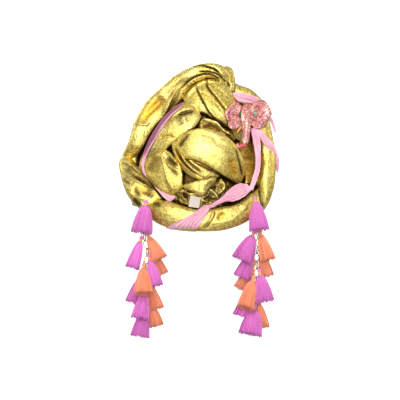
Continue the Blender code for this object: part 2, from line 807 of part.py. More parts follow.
def keep_largest(thing):
    """Drops every loose scrap that a cut left, and merges faces that lie flat together."""
    mesh = bmesh.new()
    mesh.from_mesh(thing.data)
    bmesh.ops.dissolve_limit(mesh, angle_limit=FLAT_ANGLE, verts=mesh.verts, edges=mesh.edges)
    bmesh.ops.triangulate(mesh, faces=mesh.faces)
    left = set(mesh.faces)
    islands = []
    while left:
        seed = left.pop()
        island, front = {seed}, [seed]
        while front:
            face = front.pop()
            for edge in face.edges:
                for other in edge.link_faces:
                    if other in left:
                        left.remove(other)
                        island.add(other)
                        front.append(other)
        size = sum(f.verts[0].co.dot(f.verts[1].co.cross(f.verts[2].co)) for f in island)
        islands.append((size, island))
    biggest = max(islands, key=lambda pair: pair[0])[1]
    spare = [face for face in mesh.faces if face not in biggest]
    bmesh.ops.delete(mesh, geom=spare, context="FACES")
    bmesh.ops.delete(mesh, geom=[v for v in mesh.verts if not v.link_faces], context="VERTS")
    mesh.to_mesh(thing.data)
    mesh.free()


def finish(name, thing, collection, colour):
    """Names the object, moves it to the turban's collection and gives it its material."""
    base, roughness, metallic = COLOURS[colour]
    thing.name = thing.data.name = name
    for old in list(thing.users_collection):
        old.objects.unlink(thing)
    collection.objects.link(thing)
    material = bpy.data.materials.new(name)
    material.use_nodes = True
    shader = material.node_tree.nodes["Principled BSDF"]
    shader.inputs["Base Color"].default_value = (*base, 1.0)
    shader.inputs["Roughness"].default_value = roughness
    shader.inputs["Metallic"].default_value = metallic
    material.diffuse_color = (*base, 1.0)
    thing.data.materials.clear()
    thing.data.materials.append(material)
    thing.data.shade_smooth()
    thing.data.set_sharp_from_angle(angle=math.radians(40))


def mesh_piece(maker):
    """A maker of objects from a maker of points and faces."""
    return lambda grow: raw_object("piece", *maker(grow=grow))


def pieces():
    """Each piece's name, colour and maker. A piece is cut by those before it, which lie over it."""
    found = []

    def add(name, colour, maker):
        found.append((name, colour, maker))

    def cloth(name, rows, seat, **options):
        add(name, "gold", mesh_piece(lambda grow: swathe(name, rows, seat, grow=grow, **options)))

    def ribbon(name, rows, seat, **options):
        options.setdefault("along", RIBBON_ALONG)
        add(name, "pink", mesh_piece(lambda grow: swathe(name, rows, seat, around=RIBBON_AROUND, grow=grow, **options)))

    for name, centre in EYES.items():
        add(name, "teal", mesh_piece(lambda grow, centre=centre: stone(centre, grow)))
    add("brooch_tusk", "chain", mesh_piece(lambda grow: limb(TUSK, 6, 4, grow)))
    add("brooch_body", "rose", brooch_solid)
    add("brooch_pin", "chain", mesh_piece(pin_solid))
    add("label", "label", mesh_piece(label_solid))
    ribbon("ribbon_loop", RIBBON_LOOP, world_front)
    ribbon("ribbon_drop", RIBBON_DROP, world_front)
    ribbon("tail_upper", TAIL_UPPER, world_front, along=4)
    ribbon("tail_lower", TAIL_LOWER, world_front, along=6)
    ribbon("ribbon_fan", RIBBON_FAN, world_front)
    ribbon("ribbon_wrap", RIBBON_WRAP, world_front)
    ribbon("ribbon_peek", RIBBON_PEEK, crown_front, along=5)
    ribbon("ribbon_left", RIBBON_LEFT, crown_front, along=9)
    add("chain_left", "chain", lambda grow: chain_solid(CHAIN_LEFT, grow))
    add("chain_right", "chain", lambda grow: chain_solid(CHAIN_RIGHT, grow))
    for side, rows in (("left", TASSELS_LEFT), ("right", TASSELS_RIGHT)):
        for number, row in enumerate(rows, 1):
            add(f"tassel_{side}_{number:02d}", row[0], mesh_piece(lambda grow, row=row: tassel(row, grow)))
    cloth("knob", KNOB, ring_front, along=7)
    cloth("roll_over", ROLL_OVER, ring_front, along=15, around=10)
    cloth("front_knot", FRONT_KNOT, crown_front, follow=0.35, around=10)
    cloth("roll_left", ROLL_LEFT, ring_front)
    cloth("roll_lower", ROLL_LOWER, ring_front, along=13)
    cloth("roll_right", ROLL_RIGHT, ring_front, along=12)
    cloth("drape_center", DRAPE_CENTER, crown_front, follow=0.8, around=10)
    cloth("drape_left", DRAPE_LEFT, crown_front, follow=0.8)
    cloth("crumple", CRUMPLE, crown_front, follow=0.8, along=6)
    cloth("drape_lower", DRAPE_LOWER, crown_front, follow=0.8, along=6)
    cloth("drape_fold", DRAPE_FOLD, crown_front, follow=0.8, along=7)
    cloth("drape_lobe", DRAPE_LOBE, crown_front, follow=0.8, along=7)
    cloth("drape_right", DRAPE_RIGHT, crown_front, follow=0.8, along=6)
    cloth("gathers", GATHERS, crown_front, follow=0.8, along=7)
    add("band_back", "gold", mesh_piece(nape_roll))
    return found


def main():
    for thing in list(bpy.data.objects):
        bpy.data.objects.remove(thing)
    collection = bpy.data.collections.new("turban")
    bpy.context.scene.collection.children.link(collection)
    crown = crown_shell(collection)
    finish("crown_shell", crown, collection, "gold")
    cutters = [("crown", raw_object("cutter", *crown_solid(GAP)))]
    for name, colour, maker in pieces():
        thing = maker(0.0)
        cuts = [cutter for _, cutter in cutters if crosses(thing, cutter)]
        for cutter in cuts:
            boolean = thing.modifiers.new("clearance", "BOOLEAN")
            boolean.operation = "DIFFERENCE"
            boolean.solver = "MANIFOLD"
            boolean.object = cutter
        if cuts:
            combine(thing, [], "DIFFERENCE")
        finish(name, thing, collection, colour)
        cutters.append((name, maker(GAP)))
    for _, cutter in cutters:
        remove(cutter)


main()
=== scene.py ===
"""Looks for the turban: gold lame cloth, pink jersey ribbons, thread tassels and a pave elephant brooch."""

import math

import bpy
import numpy as np
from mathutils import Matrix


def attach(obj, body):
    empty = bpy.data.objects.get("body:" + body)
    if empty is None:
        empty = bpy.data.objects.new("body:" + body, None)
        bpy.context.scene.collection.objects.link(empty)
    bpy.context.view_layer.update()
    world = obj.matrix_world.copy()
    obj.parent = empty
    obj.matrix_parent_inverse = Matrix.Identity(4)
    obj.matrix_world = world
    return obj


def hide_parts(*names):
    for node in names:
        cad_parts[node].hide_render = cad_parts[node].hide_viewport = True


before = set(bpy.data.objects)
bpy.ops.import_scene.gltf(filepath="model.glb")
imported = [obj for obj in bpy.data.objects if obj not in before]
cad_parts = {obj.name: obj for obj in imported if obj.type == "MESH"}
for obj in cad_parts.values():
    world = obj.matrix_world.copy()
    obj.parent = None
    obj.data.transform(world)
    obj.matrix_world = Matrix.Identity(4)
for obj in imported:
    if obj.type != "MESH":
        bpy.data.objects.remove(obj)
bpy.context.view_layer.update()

MM = 0.001

# The crown and the ring of rolls, as in the part's source
CROWN_HALF_WIDTH = 0.099
CROWN_HALF_DEPTH = 0.104
CROWN_HALF_HEIGHT = 0.152
CROWN_MIDDLE = 0.060
CROWN_WALL = 0.0022
CROWN_DRAWN_IN = 0.0030
# The top ring ends just short of the pole, so that it has a width
CROWN_SHORT = 0.99999
RING_FRONT = 0.111
RING_LEAN = 0.30
RING_SWEEP = 3.0
EDGE_EASE = 0.003
NAPE_HEIGHT = 0.027
NAPE_HALF_HEIGHT = 0.016
NAPE_HALF_DEPTH = 0.0085
NAPE_REACH = math.radians(118)
NAPE_SEAT = 0.0030

GLITTER = 0.75

# Wrinkles of gold cloth: their height, their length and that of the finer ones, and how much longer they are
# along a piece than round it
WRINKLE = 0.00022
WRINKLE_LENGTH = 0.013
FINE_LENGTH = 0.006
WRINKLE_SQUEEZE = 0.22
# The size of crumples, and how narrow their ridges are and how far they lift the painted shade, which leaves
# them bright
CRUMPLE_LENGTH = 0.012
CRUMPLE_RIDGE = 0.22
CRUMPLE_SHINE = 0.42

# How finely cloth is made, and how round its ends are
CLOTH_PITCH = 0.00116
RIBBON_PITCH = 0.0010
END_ROUND = 0.007
RIBBON_END_ROUND = 0.0015
RIBBON_RIPPLE = 0.0002
ROLL_CRISP = 0.72
DRAPE_CRISP = 0.80

# columns: edge A across, up, edge B across, up, proud, half thickness
SWATHES = {
    "roll_over": (
        (-122, 75, -93, 75, 0, 14), (-122, 91, -93, 88, 0, 16), (-116, 107, -87, 103, 0, 24),
        (-110, 123, -82, 116, 2, 28), (-102, 152, -70, 139, 4, 28), (-84, 179, -51, 160, 4, 26),
        (-63, 200, -25, 179, 6, 24), (-41, 221, -16, 198, 10, 22), (-12, 238, -1, 212, 18, 20),
        (12, 244, 18, 219, 22, 18), (31, 242, 35, 214, 22, 18), (46, 232, 45, 205, 16, 16),
    ),
    "knob": (
        (38, 238, 50, 238, 12, 10), (36, 229, 57, 230, 14, 15), (38, 216, 60, 216, 16, 16),
        (42, 203, 60, 203, 18, 14), (47, 192, 57, 192, 16, 9),
    ),
    "roll_right": (
        (49, 219, 46, 190, -4, 14), (68, 210, 58, 179, 0, 20), (87, 202, 73, 171, 2, 24),
        (106, 184, 82, 155, 2, 26), (114, 160, 86, 139, 2, 28), (121, 131, 92, 117, 2, 28),
        (126, 101, 98, 92, 2, 28), (126, 72, 98, 71, 2, 28), (124, 50, 94, 50, 2, 26),
        (118, 27, 98, 30, 0, 22), (106, 6, 94, 16, -4, 14),
    ),
    "roll_left": (
        (-122, 88, -105, 91, 4, 14), (-126, 77, -102, 82, 8, 20), (-122, 59, -89, 67, 8, 24),
        (-118, 43, -78, 54, 8, 24), (-108, 26, -66, 42, 8, 22), (-92, 10, -57, 30, 4, 20),
        (-76, 4, -52, 24, 0, 14),
    ),
    "roll_lower": (
        (-98, 14, -82, 27, -4, 12), (-87, 3, -73, 19, 0, 15), (-71, -8, -57, 23, 0, 18),
        (-52, -18, -41, 21, 2, 20), (-25, -24, -18, 14, 2, 20), (0, -26, 2, 9, 2, 19),
        (20, -26, 20, 10, 2, 19), (39, -24, 39, 14, 2, 20), (60, -18, 58, 19, 2, 21),
        (79, -8, 73, 27, 2, 22), (95, 0, 86, 38, 2, 20), (103, 11, 95, 46, 0, 16),
        (103, 27, 100, 51, -4, 10),
    ),
    "front_knot": (
        (-26, 187, -13, 206, 14, 8), (-15, 174, 10, 220, 18, 11), (-2, 163, 34, 220, 20, 13),
        (14, 150, 52, 199, 18, 12), (31, 138, 62, 178, 15, 11), (50, 125, 76, 155, 11, 9),
        (68, 115, 86, 136, 8, 8),
    ),
    "crumple": (
        (-1, 134, 2, 146, 8, 6), (10, 131, 14, 152, 11, 9), (25, 126, 28, 147, 12, 9),
        (39, 122, 42, 136, 12, 8), (57, 115, 60, 125, 8, 5),
    ),
    "drape_left": (
        (-6, 193, 13, 176, 0, 6), (-17, 182, 1, 165, 7, 7), (-29, 168, 6, 154, 12, 10),
        (-44, 152, -2, 139, 13, 11), (-57, 133, -18, 128, 13, 11), (-68, 114, -36, 115, 12, 10),
        (-77, 96, -54, 99, 9, 8), (-83, 78, -71, 83, 5, 5),
    ),
    "drape_lobe": (
        (-82, 88, -63, 101, 8, 6), (-82, 72, -44, 101, 12, 10), (-76, 56, -30, 88, 14, 12),
        (-65, 43, -22, 69, 15, 12), (-50, 35, -22, 50, 13, 10), (-38, 30, -25, 37, 9, 6),
    ),
    "drape_center": (
        (-33, 104, -30, 126, 12, 7), (-22, 90, -12, 133, 16, 12), (-1, 85, 12, 138, 18, 14),
        (18, 75, 38, 130, 18, 14), (36, 64, 57, 114, 17, 13), (52, 54, 70, 91, 14, 11),
        (65, 46, 74, 66, 9, 7),
    ),
    "drape_fold": (
        (-42, 120, -25, 120, 10, 7), (-38, 101, -22, 99, 13, 9), (-31, 83, -9, 90, 13, 9),
        (-20, 67, 10, 82, 12, 9), (-2, 56, 26, 72, 11, 8), (17, 54, 39, 62, 8, 6),
    ),
    "drape_right": (
        (65, 132, 88, 136, 3, 6), (65, 117, 90, 120, 4, 7), (65, 101, 92, 104, 6, 8),
        (70, 80, 94, 83, 7, 9), (73, 61, 90, 62, 7, 8), (73, 46, 84, 46, 5, 6),
    ),
    "drape_lower": (
        (-26, 44, -22, 49, 12, 4), (-8, 37, -5, 54, 15, 8), (8, 31, 12, 58, 15, 9), (18, 43, 22, 61, 14, 8),
        (30, 58, 31, 63, 11, 4),
    ),
    "gathers": (
        (-50, 27, -41, 43, 4, 5), (-31, 16, -25, 46, 7, 8), (-9, 8, -6, 40, 8, 9), (14, 8, 15, 43, 8, 9),
        (33, 13, 34, 59, 8, 9), (52, 21, 55, 51, 5, 7),
    ),
}

# Fold lines as seen from the front. A positive push is a ridge, and a negative one is a crease or a dent.
# A tail makes a step: the form runs out over that width on the left of the line's way, or if negative on the
# right.
# columns: half width, push, sharpness from 0 to 1, tail, then the line's points across and up
FOLDS = {
    "roll_over": (
        (1.3, -4.0, 1, 0, (-16, 237), (4, 241), (16, 238), (28, 233), (40, 222)),
        (1.2, -3.0, 1, 0, (-1, 229.5), (18, 229), (36, 223), (44, 212)),
        (1.4, -3.5, 1, 0, (44, 207), (38, 212), (30, 220), (18, 225), (4, 223.5), (-14, 214.5), (-28, 197)),
        (
            2.4, 6.0, 1, 0,
            (-34, 201), (-39, 193), (-48, 175), (-57, 160), (-70, 145), (-79, 130), (-88, 113), (-97, 92),
        ),
        (5.0, -1.3, 1, 0, (-27, 203), (-29, 193), (-34, 182), (-40, 172)),
        (1.3, 4.0, 1, 0, (-46, 164), (-36, 171), (-23, 179)),
        (8.5, -5.0, 0, 0, (-52, 190), (-62, 181), (-74, 169), (-86, 158), (-98, 151)),
        (1.6, 2.6, 1, 0, (-104, 149), (-93, 146), (-82, 145), (-75, 150)),
        (3.0, -2.6, 1, 0, (-52, 165), (-62, 152), (-73, 137), (-82, 122), (-89, 106), (-94, 90), (-97, 76)),
        (6.0, -1.1, 1, 0, (-12, 222), (-26, 213), (-40, 199), (-51, 187)),
        (7.0, 3.0, 0, 0, (0, 232), (-17, 224), (-34, 216), (-52, 202), (-70, 189), (-82, 176), (-94, 163)),
        (1.2, -2.5, 1, 0, (-127, 84), (-117, 82), (-109, 78), (-104, 77)),
    ),
    "knob": (
        (1.5, -3.0, 1, 0, (45, 236), (46, 222), (49, 210), (56, 203)),
        (3.0, -2.0, 0, 0, (54, 230), (55, 214)),
    ),
    "roll_right": (
        (3.0, -1.4, 1, 0, (100, 128), (99, 100), (100, 72), (98, 48)),
        (1.5, -4.0, 1, 0, (99, 40), (102, 28), (105, 12)),
    ),
    "roll_left": (
        (6.0, -1.5, 1, 0, (-119, 79), (-106, 71), (-93, 62), (-80, 52)),
        (2.8, -2.4, 1, 0, (-104, 67), (-89, 57), (-77, 47), (-67, 37)),
        (1.3, 4.0, 1, 0, (-123, 71), (-112, 62), (-101, 56), (-88, 50), (-75, 43), (-66, 34), (-56, 25)),
        (1.2, 3.0, 1, 0, (-99, 51), (-105, 42), (-104, 33), (-94, 28), (-82, 26)),
        (1.0, 2.0, 1, 0, (-97, 46), (-92, 37), (-85, 30)),
        (2.4, -1.5, 1, 0, (-101, 44), (-98, 36), (-91, 31)),
        (5.0, -2.0, 0, 0, (-90, 46), (-84, 38), (-74, 32)),
        (3.0, -1.5, 1, 0, (-84, 42), (-77, 34), (-68, 28)),
        (3.0, -2.2, 1, 0, (-104, 27), (-97, 20), (-90, 14)),
        (2.0, -1.6, 1, 0, (-120, 58), (-112, 52), (-106, 50)),
        (1.2, -1.6, 1, 0, (-124, 86), (-109, 80), (-101, 75), (-90, 66)),
    ),
    "roll_lower": (
        (3.4, -1.8, 1, 0, (-77, 22), (-66, 18), (-56, 17)),
        (0.9, -2.2, 1, 0, (26, 11), (27, 1), (20, -12), (12, -24)),
        (0.8, -1.6, 1, 0, (22, 10), (22, -1), (14, -15), (7, -24)),
        (1.4, 3.5, 1, -10, (88, 36), (84, 26), (78, 14), (70, 5)),
        (1.8, -5.0, 1, 0, (41, 19), (53, 19), (68, 26), (80, 36)),
        (1.6, -4.0, 1, 0, (97, 46), (100, 34), (103, 20), (106, 8)), (4.0, -2.5, 0, 0, (46, 6), (32, -8)),
    ),
    "front_knot": (
        (1.0, 2.2, 1, 9, (-3, 212), (3, 196), (13, 177), (19, 165), (27, 154)),
        (0.9, -2.6, 1, 0, (-4, 211), (1, 196), (11, 177), (17, 165), (25, 154)),
        (1.0, 2.2, 1, 9, (16, 222), (17, 208), (21, 200), (31, 188), (39, 178), (45, 170), (53, 158)),
        (0.9, -2.8, 1, 0, (14, 222), (15, 208), (19, 200), (29, 188), (37, 178), (43, 170), (51, 158)),
        (9.0, -6.0, 0, 0, (-4, 164), (8, 155), (24, 143), (42, 131), (60, 122)),
        (8.0, -2.3, 1, 0, (0, 162), (16, 154), (32, 145), (47, 134), (62, 123)),
        (1.6, -2.0, 1, 0, (-26, 184), (-14, 203), (-3, 213), (8, 219), (17, 220), (32, 218), (38, 211)),
        (1.1, 2.5, 1, 0, (-20, 184), (-9, 200), (1, 208), (10, 213), (18, 214), (31, 213)),
    ),
    "crumple": (
        (1.2, 4.0, 1, 0, (2, 143), (6, 149), (12, 151), (23, 149), (32, 144), (41, 134), (56, 122)),
        (4.0, -7.0, 0, 0, (8, 141), (24, 140), (36, 131)), (1.2, 3.0, 1, 0, (9, 137), (20, 138), (33, 133)),
        (1.2, 3.5, 1, 6, (44, 135), (51, 124), (59, 119)),
    ),
    "drape_left": (
        (1.2, -5.0, 1, -4, (-34, 161), (-25, 164), (-17, 167), (-4, 169)),
        (5.0, -1.4, 1, 0, (-31, 161), (-29, 151), (-26, 141)),
        (1.5, 1.8, 1, -9, (-24, 163), (-19, 152), (-16, 143)),
        (2.5, -2.0, 0, 0, (-62, 122), (-48, 126), (-36, 122)),
        (3.0, -2.0, 0, 0, (-50, 140), (-44, 152), (-36, 158)),
    ),
    "drape_lobe": (
        (1.8, 4.5, 1, 0, (-50, 103), (-56, 95), (-55, 88), (-52, 76), (-50, 67), (-45, 52), (-40, 42)),
        (1.4, 4.5, 1, 0, (-50, 100), (-43, 96), (-36, 86), (-26, 76)),
        (1.4, 4.0, 1, 0, (-51, 88), (-45, 79), (-38, 73), (-28, 71)),
        (2.6, -2.0, 1, 0, (-49, 94), (-42, 85), (-33, 77)),
        (4.0, -1.2, 1, 0, (-45, 74), (-37, 66), (-32, 58)),
        (8.0, -1.5, 1, 0, (-61, 98), (-71, 81), (-79, 66)),
    ),
    "drape_center": (
        (7.0, -2.6, 0, 0, (52, 92), (57, 76), (61, 58)),
        (2.4, -2.0, 1, 0, (-30, 106), (-22, 119), (-14, 131)),
        (3.0, -1.2, 0, 0, (4, 128), (20, 126), (32, 116)),
        (1.3, -3.0, 1, 0, (60, 109), (65, 94), (69, 76), (73, 58)),
    ),
    "drape_fold": (
        (1.2, 3.5, 1, 0, (-39, 114), (-35, 100), (-28, 87), (-16, 73), (0, 61)),
        (1.4, -3.0, 1, 0, (-35, 114), (-31, 100), (-24, 87), (-12, 73), (3, 61)),
        (1.2, 3.5, 1, 0, (-30, 116), (-27, 100), (-19, 84), (-7, 73), (8, 62)),
        (1.3, -2.4, 1, 0, (-26, 112), (-22, 99), (-15, 87), (-4, 77), (12, 65)),
        (4.0, -2.6, 0, 0, (-10, 88), (10, 80), (28, 70)),
    ),
    "drape_right": (
        (1.5, 3.5, 1, 0, (66, 104), (76, 99), (86, 104)), (1.6, -1.4, 1, 0, (66, 95), (76, 91), (90, 94)),
        (9.0, -2.4, 0, 0, (78, 84), (80, 66), (80, 50)),
        (1.4, -4.0, 1, 0, (64, 104), (67, 88), (69, 70), (73, 53)),
    ),
    "drape_lower": (
        (0.9, -1.4, 1, 0, (3, 56), (3, 35)), (6.0, -1.3, 1, 0, (25, 57), (17, 46), (12, 36)),
    ),
    "gathers": (
        (1.2, 3.5, 1, 0, (-46, 30), (-36, 33), (-24, 40)), (1.2, 3.0, 1, 0, (16, 44), (28, 34), (34, 22)),
        (1.2, 3.5, 1, 0, (38, 56), (42, 44), (36, 34)), (2.5, -5.0, 1, 0, (-24, 36), (-16, 26)),
        (2.5, -5.0, 1, 0, (22, 48), (30, 44)), (2.5, -5.0, 1, 0, (14, 30), (24, 22)),
        (2.0, 3.0, 1, 0, (-14, 33), (-4, 34), (4, 33)),
    ),
}

# A crease this deep in mm gets the full painted shade, and a valley or ridge of this size counts in full, a
# valley towards the painted warm reflection and a ridge against the painted shade
FULL_CREASE = 2.4
FULL_VALLEY = 3.0
# A sharp fold's profile: how round its tip is, what that takes off it, and how steep its flanks are
TIP_ROUND = 0.06
TIP_DROP = 0.245
FLANK = 1.2
# What is left of a fold at its ends, and the share of its length over which it fades to that
FOLD_END = 0.2
FOLD_FADE = 0.22

# How closely a drape follows the crown's curve, where that is less than usual
DRAPE_FOLLOW = {"front_knot": 0.35, "drape_center": 0.50, "drape_left": 0.60}

# Cloth deep in the turban gets painted shade and a painted warm reflection all over. columns: painted shade,
# painted warm reflection
SHADED = {
    "gathers": (0.72, 0.10), "crumple": (0.66, 0.15),
    "drape_right": (0.12, 0.60), "drape_fold": (0.26, 0.20),
}
# How far cloth is crumpled, in mm
CRUMPLED = {"gathers": 1.3, "crumple": 0.5, "drape_right": 0.35}

# Folds that run the whole length of a piece.
# columns: place round the section in degrees, width, push, drift along the piece
LENGTHWISE = {
    "roll_over": ((215, 12, -5, 30), (262, 10, -6, -24), (318, 12, -5, 20)),
    "roll_right": ((205, 12, -5, 24), (250, 9, -6, -20), (305, 11, -5, 26)),
    "roll_left": ((210, 12, -4, 18), (290, 12, -4, -18)),
    "roll_lower": ((220, 12, -4, 20), (300, 12, -4, -22)),
    "knob": ((230, 14, -3, 10), (300, 14, -3, -10)),
}
NAPE_FOLDS = ((55, 10, -3, 20), (95, 9, -3.5, -24), (130, 10, -3, 18))

# Pleats of the crown as seen from the front through the cloth, for its back half. columns: as the folds
CROWN_FOLDS = (
    (1.5, 4.6, 1, 12, (-88, 34), (-86, 80), (-70, 128), (-38, 172), (6, 202)),
    (1.5, 4.6, 1, 12, (-68, 32), (-66, 80), (-52, 130), (-24, 174), (14, 203)),
    (1.5, 4.6, 1, 12, (-49, 31), (-46, 80), (-34, 132), (-12, 175), (20, 204)),
    (1.5, 4.6, 1, 12, (-31, 30), (-27, 82), (-16, 134), (2, 176), (26, 204)),
    (1.5, 4.6, 1, 12, (-13, 30), (-8, 84), (2, 135), (16, 176), (32, 203)),
    (1.5, 4.6, 1, 12, (5, 30), (11, 85), (20, 134), (30, 175), (38, 201)),
    (1.5, 4.6, 1, 12, (24, 31), (31, 84), (38, 132), (43, 172), (44, 198)),
    (1.5, 4.6, 1, 12, (43, 32), (51, 82), (56, 128), (56, 165), (52, 190)),
    (1.5, 4.6, 1, 12, (62, 33), (70, 78), (73, 120), (69, 152), (60, 180)),
    (1.5, 4.6, 1, 10, (80, 34), (87, 74), (88, 108), (82, 138)),
    (1.2, -2.0, 1, 0, (-58, 33), (-55, 62), (-50, 92)), (1.2, -2.0, 1, 0, (-22, 31), (-18, 58), (-12, 84)),
    (1.2, -2.0, 1, 0, (14, 31), (20, 60), (25, 90)), (1.2, -2.0, 1, 0, (53, 33), (60, 60), (64, 84)),
)

# The same for its sides, as seen from the side. columns: as the folds, but the points are back and up
CROWN_SIDE_FOLDS = (
    (1.5, 4.2, 1, 12, (-46, 30), (-50, 70), (-54, 120)),
    (1.5, 4.2, 1, 12, (-24, 30), (-29, 80), (-38, 130), (-48, 165)),
    (1.5, 4.2, 1, 12, (-3, 31), (-8, 80), (-18, 130), (-34, 172)),
    (1.5, 4.2, 1, 12, (19, 31), (13, 80), (1, 130), (-20, 175)),
    (1.5, 4.2, 1, 12, (40, 32), (34, 80), (20, 130), (-6, 178)),
)

# Pink jersey bands: as the swathes, with what they lie against
RIBBONS = {
    "ribbon_left": (
        (-22, 182, -13, 179, 14, 2), (-34, 174, -25, 169, 13, 2), (-46, 166, -35, 160, 10, 2),
        (-57, 154, -45, 149, 8, 2), (-67, 140, -54, 137, 8, 2), (-76, 125, -63, 121, 8, 2),
        (-83, 110, -73, 108, 8, 2), (-88, 95, -80, 94, 9, 2), (-90, 82, -82, 82, 12, 2),
        (-88, 70, -80, 71, 15, 2), (-79, 51, -73, 55, 18, 2),
    ),
    "ribbon_peek": (
        (-70, 46, -60, 51, 20, 2), (-60, 35, -49, 45, 20, 2), (-52, 26, -41, 38, 18, 2),
        (-44, 19, -34, 29, 14, 2),
    ),
    "ribbon_wrap": (
        (9, 15, 23, 15, 116, 1.5), (-2, 6, 18, 7, 133, 1.5), (-20, -5, 10, -6, 138, 1.5),
        (-38, -13, 2, -18, 134, 1.5), (-50, -19, -2, -25, 122, 1.5), (-48, -21, -4, -26, 108, 1.5),
    ),
    "ribbon_fan": (
        (86, 40, 79, 50, 102, 2.0), (73, 29, 65, 50, 113, 2.5), (58, 22, 50, 40, 121, 2.5),
        (44, 21, 39, 29, 125, 2.0), (26, 13, 23, 18, 127, 1.5), (14, 10, 12, 14, 122, 1.2),
    ),
    "ribbon_drop": (
        (84, 139, 97, 142, 84, 2), (88, 120, 100, 123, 84, 2), (92, 96, 101, 99, 86, 2),
        (92, 75, 100, 75, 91, 2), (87, 58, 95, 56, 97, 2), (82, 43, 88, 38, 103, 2),
    ),
    "ribbon_loop": (
        (58, 192, 55, 195, 76, 1.5), (63, 183, 63, 196, 78, 2.5), (72, 179, 74, 195, 78, 3.0),
        (84, 178, 87, 192, 75, 3.0), (98, 176, 102, 185, 70, 2.5), (105, 170, 109, 177, 65, 2.0),
    ),
    "tail_upper": (
        (103, 172, 108, 176, 66, 1.0), (111, 159, 115, 162, 66, 1.0), (118, 147, 122, 150, 64, 1.0),
        (124, 131, 127, 133, 60, 0.8),
    ),
    "tail_lower": (
        (96, 132, 100, 139, 84, 1.5), (102, 120, 108, 129, 80, 1.5), (112, 107, 120, 116, 74, 1.5),
        (119, 96, 127, 102, 66, 1.5), (123, 85, 131, 88, 58, 1.5), (126, 74, 131, 75, 51, 1.2),
        (128, 67, 129, 67, 47, 0.8),
    ),
}
# The share of a band's length over which its folds run out towards its end, where that is more than usual
RUN_OUT = {"ribbon_wrap": 0.80}
# The raised line along the left band, whose other half is in shade
RAISED_HEM = 0.0022
# columns: lengthwise folds, their height, flat width, flat length, what it rests on
RIBBON_FACTS = {
    "ribbon_left": (2, 1.2, 0.012, 0.175, "drape_left"),
    "ribbon_peek": (2, 0.8, 0.014, 0.040, "drape_lobe"),
    "ribbon_wrap": (5, 2.6, 0.030, 0.075, "roll_lower"),
    "ribbon_fan": (5, 2.6, 0.016, 0.085, "roll_lower"),
    "ribbon_drop": (2, 1.8, 0.013, 0.105, "drape_right"),
    "ribbon_loop": (2, 2.2, 0.015, 0.055, "roll_right"),
    "tail_upper": (1, 0.3, 0.0100, 0.048, "ribbon_loop"),
    "tail_lower": (2, 1.6, 0.010, 0.085, "ribbon_drop"),
}

# columns: colour, bead across, out, up, hem across, out, up, half width
TASSELS_LEFT = (
    ("orchid", -81, -112, 24, -89, -124, -28, 18), ("orchid", -88, -109.8, -33, -104, -114, -84, 12),
    ("peach", -81, -107.5, -28, -59, -118, -70, 13), ("peach", -76.5, -104, -50, -57, -96, -95, 12),
    ("orchid", -77.5, -110, -62, -65, -126, -112, 12), ("peach", -85, -111, -76, -85, -136, -124, 16),
    ("orchid", -88, -104, -92, -103, -96, -140, 13), ("peach", -78, -104, -102, -64, -98, -150, 12),
    ("orchid", -83, -109.2, -116, -92, -122, -164, 15), ("peach", -78, -102, -130, -65, -90, -177, 12),
    ("orchid", -84, -104, -146, -92, -100, -194, 16),
)
TASSELS_RIGHT = (
    ("orchid", 91, -103, 30, 98, -120, -24, 17), ("orchid", 91.5, -103, -25, 70, -112, -72, 18),
    ("peach", 98.5, -100.8, -23, 112, -110, -72, 13), ("orchid", 90.6, -98.2, -54, 70, -90, -100, 15),
    ("peach", 100, -96, -52, 111, -88, -98, 12), ("orchid", 98, -101.8, -86, 108, -114, -138, 15),
    ("peach", 90.4, -102.4, -96, 75, -124, -147, 15), ("peach", 92.4, -97.2, -73.5, 68, -80, -118, 12),
    ("orchid", 88, -100, -116, 73, -100, -163, 19), ("orchid", 92, -100, -142, 83, -114, -190, 20),
    ("peach", 95.8, -97, -132, 105, -84, -180, 12),
)
TASSEL_FLATNESS = 0.62
STRANDS = 230
STRAND_RADIUS = 0.00042
STRAND_TOP = 0.0096

# The brooch
BROOCH_FRONT = 0.0955
BROOCH_TURN = 0.30
BROOCH_LEAN = 0.10
BROOCH_MIDDLE = (0.060, 0.150)
# columns: across, up
EAR_LEFT = (
    (74, 170), (66, 179), (60, 181), (50, 173), (43, 160),
    (48, 150), (49, 142), (56, 136), (68, 140), (76, 156),
)
EAR_RIGHT = (
    (84, 170), (92, 180), (100, 184), (110, 181), (119, 163),
    (114, 155), (111, 145), (102, 138), (90, 140), (82, 156),
)
HEAD = (
    (69, 170), (74, 177), (80, 179), (87, 175), (92, 163),
    (89, 149), (84, 140), (76, 137), (69, 144), (66, 158),
)
# columns: relief, share of the outline
EAR_RELIEF = ((-1.5, 0.98), (1.2, 1.0), (3.2, 0.78), (1.8, 0.4))
HEAD_RELIEF = ((-1.1, 0.94), (3.0, 1.0), (6.8, 0.72), (8.4, 0.34))
# columns: across, up, relief, radius
TRUNK = (
    (79, 152, 2.5, 8.0), (78, 143, 4.0, 7.6), (77, 133, 4.0, 6.4), (77, 123, 4.0, 5.4), (74, 113, 4.0, 4.6),
    (67, 109, 4.5, 4.2), (61, 113, 5.0, 3.4),
)
TRUNK_RINGS = 60
TRUNK_SIDES = 24
# The trunk is enamel from this ring on
TRUNK_ENAMEL = 38
EYES = {"brooch_eye_left": (68, 160), "brooch_eye_right": (92, 162)}
STONE_HALF_WIDTH = 3.1
STONE_HALF_HEIGHT = 4.2
PAVE_PITCH = 1.9
PAVE_RADIUS = 0.88
# How far out on a plate stones are set, and the half sizes of the room left for an eye
PAVE_EDGE = 0.93
EYE_ROOM = (4.0, 5.2)
# The two shape values of the stones' random tints
TINT_SPREAD = (1.0, 1.1)

LABEL_SIZE = (0.0170, 0.0180)
LABEL_THICKNESS = 0.0005
LABEL_MIDDLE = (-0.0045, -0.1215, 0.0208)
LABEL_LEAN = math.radians(-14)
LABEL_TILT = math.radians(-9)

